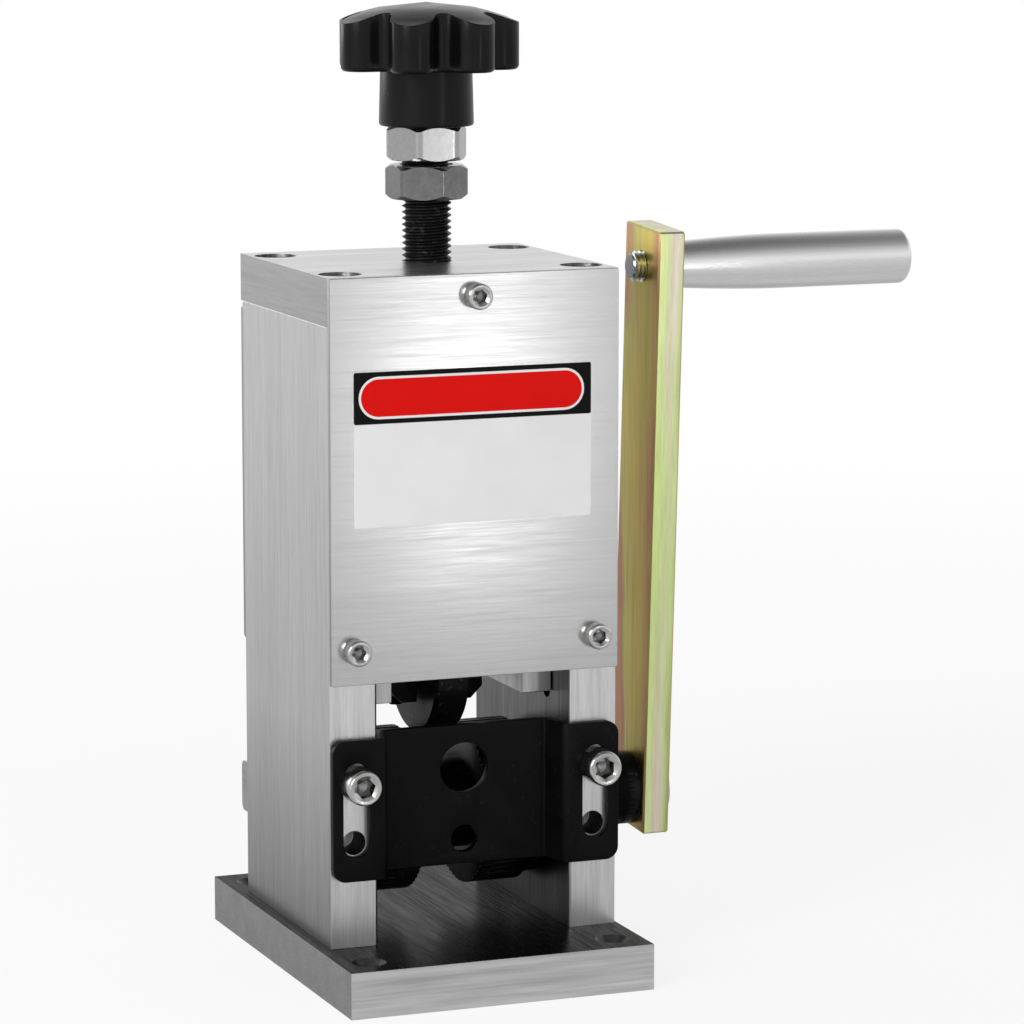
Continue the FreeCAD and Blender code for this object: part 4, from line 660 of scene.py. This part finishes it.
def socket_screw(head, height, key, shank, length, segments=72):
    """A socket cap screw about Z: ribbed head on z = 0, hexagon socket with a drilled floor, shank below."""
    corner = key / math.sqrt(3)
    mouth = corner + 0.64
    floor = height * 0.34
    rows = [round_row(head * 0.94, 0.0), ribbed_row(head, height * 0.06, segments),
            ribbed_row(head, height * 0.78, segments), round_row(head * 0.985, height * 0.87),
            round_row(head * 0.945, height * 0.96), round_row(head * 0.88, height),
            round_row(mouth + 0.12, height), round_row(mouth, height - 0.06),
            hexagon_row(key, corner, height - 0.75), hexagon_row(key, corner, floor),
            round_row(key * 0.42, floor), round_row(key * 0.42, floor - 0.1), round_row(0.05, floor - key * 0.24)]
    bolt = spin_profile([(0.0, 0.0), (shank, 0.0), (shank, -length + 0.6), (shank - 0.6, -length),
                         (0.0, -length)], 32)
    top = ring_rows(segments, rows)
    # Painted shade: the faces inside the hexagon socket take the second material, a darker steel.
    for face in top.faces:
        centre = face.calc_center_median() / MM
        if centre.xy.length < mouth and centre.z < height - 0.7:
            face.material_index = 1
    return join_shapes([top, bolt])


NUT_SLOPE = math.radians(40)
NUT_POINTS = 144
NUT_THREAD = 8.1  # radius of the nuts' threaded hole, in millimetres


def make_nut(node, metal, thread=NUT_THREAD):
    """A hexagon nut chamfered at both faces, in the place and turn of its solid."""
    low, high = corners(node)
    axis = (low + high) / 2
    foot, top = low.z / MM, high.z / MM
    spokes = (vert.co.xy - axis.xy for vert in frame["nodes"][node].data.vertices)
    far = max(spokes, key=lambda spoke: spoke.length)
    flats = far.length * math.sqrt(3) / MM
    corner = far.length / MM - 0.4
    chamfer = flats / 2 - 0.2
    slope = math.tan(NUT_SLOPE)
    rows = [round_row(thread, foot + 0.9), round_row(thread + 0.9, foot), round_row(chamfer, foot),
            hexagon_row(flats, corner, foot, slope, chamfer), hexagon_row(flats, corner, top, -slope, chamfer),
            round_row(chamfer, top), round_row(thread + 0.9, top), round_row(thread, top - 0.9),
            round_row(thread, foot + 0.9)]
    shape = moved(ring_rows(NUT_POINTS, rows), Matrix.Rotation(math.atan2(far.y, far.x), 4, "Z"))
    finish_piece(node + "_finish", shape, body_of_node(node), metal, slot_of_node(node), node, angle=24.0)


def screws(node, spots, sizes, facing, turns):
    """All the screws of a node, as one piece; sizes are those of socket_screw."""
    made = [stand(socket_screw(*sizes), spot, facing, turn) for spot, turn in zip(spots, turns)]
    finish_piece(node + "_finish", join_shapes(made), body_of_node(node), SCREW_METAL, slot_of_node(node), node,
                 angle=38.0, second=SOCKET_METAL)


def slab(x_low, x_high, z_low, z_high, corner, back, front, segments=8):
    """A thin plate in the plane of the front cover, with round corners, in millimetres."""
    shape = bmesh.new()
    bmesh.ops.create_cube(shape, size=1.0)
    size = Vector((x_high - x_low, back - front, z_high - z_low)) * MM
    centre = Vector(((x_low + x_high) / 2, (back + front) / 2, (z_low + z_high) / 2)) * MM
    moved(shape, Matrix.Translation(centre) @ Matrix.Diagonal((*size, 1.0)))
    upright = [edge for edge in shape.edges
               if abs(edge.verts[0].co.x - edge.verts[1].co.x) < 1e-7
               and abs(edge.verts[0].co.z - edge.verts[1].co.z) < 1e-7]
    bevel(shape, upright, corner * MM, segments)
    return shape


# Pieces that keep the shape of their solid: plates with broken edges first, then the small round parts
for node, metal, bore_shade in (
        ("left_side_plate", SIDE_METAL, BORE_SHADE_METAL), ("right_side_plate", SIDE_METAL, BORE_SHADE_METAL),
        ("top_plate", TOP_METAL, BORE_SHADE_METAL), ("base_plate", BASE_METAL, BORE_SHADE_METAL),
        ("rear_cover", COVER_METAL, None), ("rear_tie_bar", TOP_METAL, None),
        ("carriage_block", CARRIAGE_METAL, None), ("crank_arm", ZINC, None), ("blade_yoke", BLACK_OXIDE, None)):
    softened(node, metal, bore_shade=bore_shade)
softened("guide_plate", BLACK_PAINT, width=0.45, segments=3)

for node, metal in (("left_shaft_bush", BRONZE), ("right_shaft_bush", BRONZE), ("drive_shaft", SHAFT_METAL),
                    ("roller_key", SHAFT_METAL), ("roller_sleeve", BLACK_OXIDE),
                    ("drive_roller", BLACK_OXIDE), ("crank_hub", HUB_BLACK),
                    ("hub_set_screw", BLACK_OXIDE), ("crank_washer", SCREW_METAL),
                    ("crank_screw", SCREW_METAL), ("handle_washer", HUB_BLACK),
                    ("left_rails", SCREW_METAL), ("right_rails", SCREW_METAL), ("blade_bush", BRONZE),
                    ("blade_axle", SHAFT_METAL), ("blade_washers", SCREW_METAL),
                    ("axle_lock_screw", BLACK_OXIDE), ("yoke_screws", BLACK_OXIDE),
                    ("screw_keeper", SCREW_METAL), ("keeper_screws", BLACK_OXIDE),
                    ("rear_bar_screws", SCREW_METAL), ("knob_insert", SCREW_METAL)):
    smoothed(node, metal)
# The lower nut takes the darker copy of the nut steel, painted shade.
make_nut("lower_nut", SHADED_NUT_METAL)
make_nut("upper_nut", NUT_METAL)

# Screws of the covers, the guide and the plates
cover_low, cover_high = corners("front_cover")
plate_low, plate_high = corners("left_side_plate")
REAR_TOP = corners("rear_cover")[1].z / MM
LID_TOP = corners("top_plate")[1].z / MM
MID_PLATE = abs(plate_low.x + plate_high.x) / 2 / MM
COVER_FACE = cover_low.y / MM
REAR_FACE = corners("rear_cover")[1].y / MM
GUIDE_FACE = corners("guide_plate")[0].y / MM
COVER_ROW = cover_low.z / MM + 11.0
GUIDE_ROW = 69.2
HEAD_SEAT = LID_TOP - 9.0
BASE_SEAT = 9.0
PLATE_PITCH = 32.0  # from the middle to a plate screw, along Y
# head radius, head height, key, shank radius and length
COVER_SCREW = (4.2, 5.0, 4.0, 2.4, 7.9)
GUIDE_SCREW = (5.85, 8.8, 6.0, 3.8, 14.9)
PLATE_SCREW = (6.5, 8.0, 6.0, 3.9, 31.9)
BOTH = (-1, 1)

screws("front_cover_screws",
       [(0.0, COVER_FACE, LID_TOP - 7.1), (-MID_PLATE, COVER_FACE, COVER_ROW),
        (MID_PLATE, COVER_FACE, COVER_ROW)], COVER_SCREW, "front", (0.3, 0.1, 0.6))
screws("guide_screws", [(side * MID_PLATE, GUIDE_FACE, GUIDE_ROW) for side in BOTH],
       GUIDE_SCREW, "front", (0.2, 0.5))
screws("rear_cover_screws",
       [(side * MID_PLATE, REAR_FACE, level) for side in BOTH for level in (COVER_ROW, REAR_TOP - 11.0)],
       COVER_SCREW, "back", (0.1, 0.7, 0.4, 0.9))
screws("top_plate_screws", [(side * MID_PLATE, end * PLATE_PITCH, HEAD_SEAT) for side in BOTH for end in BOTH],
       PLATE_SCREW, "up", (0.1, 0.5, 0.8, 0.3))
screws("base_plate_screws", [(side * MID_PLATE, end * PLATE_PITCH, BASE_SEAT) for side in BOTH for end in BOTH],
       PLATE_SCREW, "down", (0.4, 0.2, 0.6, 0.0))


def make_front_cover():
    """The front cover with crisp upright corners, in the box of its solid."""
    shape = slab(cover_low.x / MM, cover_high.x / MM, cover_low.z / MM, cover_high.z / MM, 0.6,
                 cover_high.y / MM, COVER_FACE, 4)
    bevel(shape, sharp_edges(shape, 50.0), 0.3 * MM, 2)
    finish_piece("front_cover_finish", shape, "frame", COVER_METAL, slot_of_node("front_cover"), "front_cover",
                 angle=20.0)


make_front_cover()


# Plain plaque on the front cover: a pale field, a black band and a red panel with a white rim
def make_plaque():
    bottom, top, left, right = 150.9, 200.3, -41.1, 39.3
    face = COVER_FACE
    # name, left, right, bottom, top, corner, back, front, paint
    layers = (
        ("plaque_field", left, right, bottom, top, 0.6, face, face - 0.16, PLAQUE_FIELD),
        ("plaque_band", left, right, top - 16.5, top, 0.6, face - 0.1, face - 0.2, PLAQUE_BLACK),
        ("plaque_rim", -39.5, 36.9, top - 15.0, top - 1.5, 6.7, face - 0.15, face - 0.24, PLAQUE_FIELD),
        ("plaque_panel", -38.7, 36.1, top - 14.2, top - 2.3, 5.9, face - 0.2, face - 0.28, PLAQUE_RED),
    )
    for name, *sides, paint in layers:
        finish_piece(name, slab(*sides), "frame", paint, "cover_aluminium")


make_plaque()


# Adjusting screw: threaded above the carriage, plain journal and collar below
def make_adjusting_screw():
    low, high = corners("adjusting_screw")
    foot, top = low.z / MM, high.z / MM
    collar, journal, shoulder = 9.2, 6.0, 7.0  # radii
    collar_top = foot + 5.8
    thread_start = foot + 12.9
    shoulder_top = thread_start + 1.5
    lower = spin_profile([(0.0, foot), (collar, foot), (collar, collar_top), (journal, collar_top),
                          (journal, thread_start), (shoulder, thread_start), (shoulder, shoulder_top),
                          (0.0, shoulder_top)], 48)
    radius, pitch = 8.0, 2.0
    thread = threaded_rod(radius, pitch, thread_start, top - 0.2, 32)
    finish_piece("adjusting_screw_finish", join_shapes([lower, thread]), "adjuster", BLACK_OXIDE,
                 slot_of_node("adjusting_screw"), "adjusting_screw", angle=50.0)


make_adjusting_screw()


# Star knob: seven round lobes under a low dome, on a tapered hub
def lobe_reach(angle, tip, reach, valley, half):
    """How far the lobed outline lies from its centre at an angle from a lobe's middle."""
    far = (reach ** 2 - (tip - valley) ** 2) / (2 * (reach * math.cos(half) + tip - valley))
    dip = far - valley
    turn = math.asin(reach * math.sin(half) / (tip + dip))
    touch = Vector((far - dip * math.cos(turn), dip * math.sin(turn)))
    meeting = half - math.atan2(touch.y, touch.x)
    if angle < meeting:
        return reach * math.cos(angle) + math.sqrt(max(tip ** 2 - (reach * math.sin(angle)) ** 2, 0.0))
    gap = half - angle
    return far * math.cos(gap) - math.sqrt(max(dip ** 2 - (far * math.sin(gap)) ** 2, 0.0))


def make_knob():
    """The star knob: the lobed rim raised from its outline, the dome drawn in by insets, the hub turned."""
    low, high = corners("star_knob")
    bottom, top = low.z / MM, high.z / MM
    dome, rim_height = 6.3, 15.4
    rim_top = top - dome
    rim_low = rim_top - rim_height
    lobes, tip, knob_radius, valley = 7, 7.0, 30.0, 20.5
    half = math.pi / lobes
    start = math.radians(33.0)
    shape = bmesh.new()
    ring = bmesh.ops.create_circle(shape, cap_ends=False, segments=lobes * 32, radius=1.0)["verts"]
    for vert in ring:
        angle = math.atan2(vert.co.y, vert.co.x)
        from_lobe = (angle - start + half) % (2 * half) - half
        reach = lobe_reach(abs(from_lobe), tip, knob_radius - tip, valley, half) * MM
        vert.co = Vector((math.cos(angle) * reach, math.sin(angle) * reach, rim_low * MM))
    floor = bmesh.ops.contextual_create(shape, geom=list({edge for vert in ring for edge in vert.link_edges}))
    grown = bmesh.ops.extrude_face_region(shape, geom=floor["faces"])["geom"]
    lid = [item for item in grown if isinstance(item, bmesh.types.BMFace)][0]
    bmesh.ops.translate(shape, vec=(0, 0, (rim_top - rim_low) * MM),
                        verts=[item for item in grown if isinstance(item, bmesh.types.BMVert)])
    rim = list(lid.edges)
    for scale in (0.84, 0.80, 0.72, 0.62, 0.5):
        bmesh.ops.inset_region(shape, faces=[lid], thickness=0.0, depth=0.0, use_even_offset=False)
        for vert in lid.verts:
            spoke = Vector((vert.co.x, vert.co.y, 0.0))
            wanted = min(spoke.length, knob_radius * MM * scale)
            vert.co = Vector((*(spoke.normalized() * (spoke.length * 0.35 + wanted * 0.65 * 0.93)).xy, vert.co.z))
    bmesh.ops.poke(shape, faces=[lid])
    for vert in shape.verts:
        if vert.co.z > (rim_top - 0.01) * MM:
            away = Vector((vert.co.x, vert.co.y)).length / MM / knob_radius
            vert.co.z += dome * (1.0 - away * away) * MM
    under = [edge for edge in shape.edges if len(edge.link_faces) == 2
             and all(vert.co.z < (rim_low + 0.01) * MM for vert in edge.verts)]
    bevel(shape, rim, 3.0 * MM, 6)
    bevel(shape, [edge for edge in under if edge.is_valid], 1.6 * MM, 4)
    bmesh.ops.recalc_face_normals(shape, faces=shape.faces)
    bore, hub_foot, hub_neck, hub_top = 8.2, 15.4, 14.9, rim_low + 0.6
    profile = [(bore, bottom), (hub_foot, bottom), (hub_neck, hub_top), (bore, hub_top)]
    profile = rounded(profile, 1.0, 1, 4)
    hub = spin_profile(profile, 72)
    finish_piece("star_knob_finish", join_shapes([shape, hub]), "adjuster", KNOB_PLASTIC,
                 slot_of_node("star_knob"), "star_knob", angle=40.0)


make_knob()


# Blade wheel, with its bevelled rim
def make_blade():
    low, high = corners("blade_wheel")
    centre = (low + high) / 2 / MM
    half = (high.x - low.x) / 2 / MM
    bore, edge, rim, slant = 8.0, 23.2, 24.0, 0.8
    profile = [(bore, -half), (edge, -half), (rim, -half + slant), (rim, half - slant), (edge, half), (bore, half)]
    shape = stand(spin_profile(profile, 96), centre, "right")
    finish_piece("blade_wheel_finish", shape, "blade", BLACK_OXIDE, slot_of_node("blade_wheel"), "blade_wheel")


make_blade()


# Grip: satin steel with a swelling neck and a round end, and the stud it turns on
CRANK_REACH = 176.9
SHAFT_HEIGHT = 50.1
STUD_AXIS = Vector((0.0, -CRANK_REACH * math.sin(LEAN), SHAFT_HEIGHT + CRANK_REACH * math.cos(LEAN)))


def make_grip():
    low, high = corners("handle_grip")
    start, end = low.x / MM, high.x / MM
    bore, recess, recess_floor = 4.55, 6.6, end - 8.0
    slim, swell, thick = 7.6, 1.5, 9.1
    neck_length, neck_steps = 38.0, 10
    neck = [(slim + swell * math.sin(math.pi / 2 * step / neck_steps), start + neck_length * step / neck_steps)
            for step in range(1, neck_steps + 1)]
    profile = [(bore, recess_floor), (bore, start + 0.4), (bore + 0.4, start), (slim - 0.6, start),
               (slim, start + 0.6)] + neck
    profile += [(thick, end), (recess, end), (recess, recess_floor)]
    profile = rounded(profile, 2.0, len(profile) - 3, 8)
    profile = rounded(profile, 0.3, len(profile) - 2, 2)
    shape = stand(spin_profile(profile, 96), STUD_AXIS, "right")
    finish_piece("handle_grip_finish", shape, "grip", GRIP_METAL, slot_of_node("handle_grip"), "handle_grip")


def make_stud():
    low, high = corners("handle_stud")
    start, end = low.x / MM, high.x / MM
    seat, radius, pitch = 82.2, 5.0, 1.5
    thread = threaded_rod(radius, pitch, start + 0.5, seat - 0.1, 28)
    tip_top = start + 0.55
    tip = spin_profile([(0.0, start), (3.9, start), (4.35, tip_top), (0.0, tip_top)], 32)
    shank, head, head_foot, foot = 4.5, 6.2, end - 4.5, seat - 1.0
    spindle = spin_profile([(0.0, foot), (shank, foot), (shank, head_foot), (head, head_foot),
                            (head, end - 0.4), (head - 0.4, end), (0.0, end)], 48)
    shape = stand(join_shapes([thread, tip, spindle]), STUD_AXIS, "right")
    finish_piece("handle_stud_finish", shape, "crank", SCREW_METAL, slot_of_node("handle_stud"), "handle_stud",
                 angle=45.0)


make_grip()
make_stud()


# Floor and studio
AMBIENT = 0.58  # strength of the surrounding light on matt surfaces
FADE_START, FADE_END = 0.3, 1.2  # where the floor begins to fade to white and is white, in metres
NEAR_GLOW = 0.84  # share of white that the camera sees in the floor close by
MIRRORED_GLOW = 0.38  # share of white that metal mirrors in the floor far off
OVERHEAD = (0.30, 0.92, 1.0, 0.16)  # upward direction from and to, and strength from and to


def seen_or_mirrored(tree, seen, mirrored):
    """A share for rays of the camera and one for rays off gloss and through glass."""
    path = tree.nodes.new("ShaderNodeLightPath")
    gloss = add_math(tree, "MAXIMUM", path.outputs["Is Glossy Ray"], path.outputs["Is Transmission Ray"])
    return add_math(tree, "MAXIMUM", add_math(tree, "MULTIPLY", path.outputs["Is Camera Ray"], seen),
                    add_math(tree, "MULTIPLY", gloss, mirrored))


def make_floor():
    """A pale floor that keeps the shadow close by and fades to white far off."""
    shape = bmesh.new()
    bmesh.ops.create_grid(shape, x_segments=1, y_segments=1, size=30.0)
    mesh = bpy.data.meshes.new("studio_floor")
    shape.to_mesh(mesh)
    shape.free()
    floor = bpy.data.objects.new("studio_floor", mesh)
    bpy.context.scene.collection.objects.link(floor)
    material = bpy.data.materials.new("studio floor white")
    material.use_nodes = True
    tree = material.node_tree
    tree.nodes.clear()
    surface = tree.nodes.new("ShaderNodeBsdfDiffuse")
    surface.inputs["Color"].default_value = (0.80, 0.80, 0.80, 1.0)
    glow = tree.nodes.new("ShaderNodeEmission")
    glow.inputs["Strength"].default_value = 1.0
    coordinates = tree.nodes.new("ShaderNodeTexCoord")
    away = tree.nodes.new("ShaderNodeVectorMath")
    away.operation = "LENGTH"
    tree.links.new(coordinates.outputs["Object"], away.inputs[0])
    far = add_range(tree, away.outputs["Value"], FADE_START, FADE_END, 0.0, 1.0)
    seen = add_math(tree, "ADD", add_math(tree, "MULTIPLY", far, 1.0 - NEAR_GLOW), NEAR_GLOW)
    share = seen_or_mirrored(tree, seen, add_math(tree, "MULTIPLY", far, MIRRORED_GLOW))
    mix = tree.nodes.new("ShaderNodeMixShader")
    tree.links.new(share, mix.inputs[0])
    tree.links.new(surface.outputs[0], mix.inputs[1])
    tree.links.new(glow.outputs[0], mix.inputs[2])
    output = tree.nodes.new("ShaderNodeOutputMaterial")
    tree.links.new(mix.outputs[0], output.inputs["Surface"])
    mesh.materials.append(material)


def make_world():
    """White round the horizon and dim overhead, for the eye and for metal; softer light on the rest."""
    world = bpy.data.worlds.new("studio")
    bpy.context.scene.world = world
    world.use_nodes = True
    tree = world.node_tree
    tree.nodes.clear()
    coordinates = tree.nodes.new("ShaderNodeTexCoord")
    split = tree.nodes.new("ShaderNodeSeparateXYZ")
    tree.links.new(coordinates.outputs["Generated"], split.inputs[0])
    tint = tree.nodes.new("ShaderNodeBackground")
    tint.inputs["Color"].default_value = (1.0, 1.0, 1.0, 1.0)
    tint.inputs["Strength"].default_value = AMBIENT
    white = tree.nodes.new("ShaderNodeBackground")
    white.inputs["Color"].default_value = (1.0, 1.0, 1.0, 1.0)
    tree.links.new(add_range(tree, split.outputs["Z"], *OVERHEAD), white.inputs["Strength"])
    mix = tree.nodes.new("ShaderNodeMixShader")
    tree.links.new(seen_or_mirrored(tree, 1.0, 1.0), mix.inputs[0])
    tree.links.new(tint.outputs[0], mix.inputs[1])
    tree.links.new(white.outputs[0], mix.inputs[2])
    output = tree.nodes.new("ShaderNodeOutputWorld")
    tree.links.new(mix.outputs[0], output.inputs["Surface"])


def softbox(name, spot, aim, width, height, power):
    """A rectangular lamp at a spot, turned to its aim; metres and watts."""
    light = bpy.data.lights.new(name, "AREA")
    light.shape = "RECTANGLE"
    light.size = width
    light.size_y = height
    light.energy = power
    lamp = bpy.data.objects.new(name, light)
    bpy.context.scene.collection.objects.link(lamp)
    lamp.location = spot
    lamp.rotation_euler = (Vector(aim) - Vector(spot)).to_track_quat("-Z", "Y").to_euler()


make_floor()
make_world()
softbox("front strip", (0.285, -0.80, 0.15), (0.0, -0.04, 0.15), 0.045, 0.30, 0.17)
softbox("key softbox", (-1.60, -1.10, 1.00), (0.0, 0.0, 0.10), 0.8, 0.8, 26.0)
softbox("rear softbox", (-0.95, 1.60, 0.55), (0.0, 0.0, 0.15), 0.8, 0.7, 6.0)


def make_camera():
    """The camera fitted to the photograph's straight edges."""
    camera = bpy.data.cameras.new("photo camera")
    camera.sensor_fit = "HORIZONTAL"
    camera.sensor_width = 36.0
    camera.lens = 158.2
    camera.clip_end = 50.0
    eye = bpy.data.objects.new("photo camera", camera)
    bpy.context.scene.collection.objects.link(eye)
    eye.location = (-0.5059, -1.3647, 0.3740)
    eye.rotation_euler = (math.radians(90.0) - 0.1544, 0.0, -0.3740)
    bpy.context.scene.camera = eye


make_camera()
bpy.context.scene.view_settings.view_transform = "Standard"
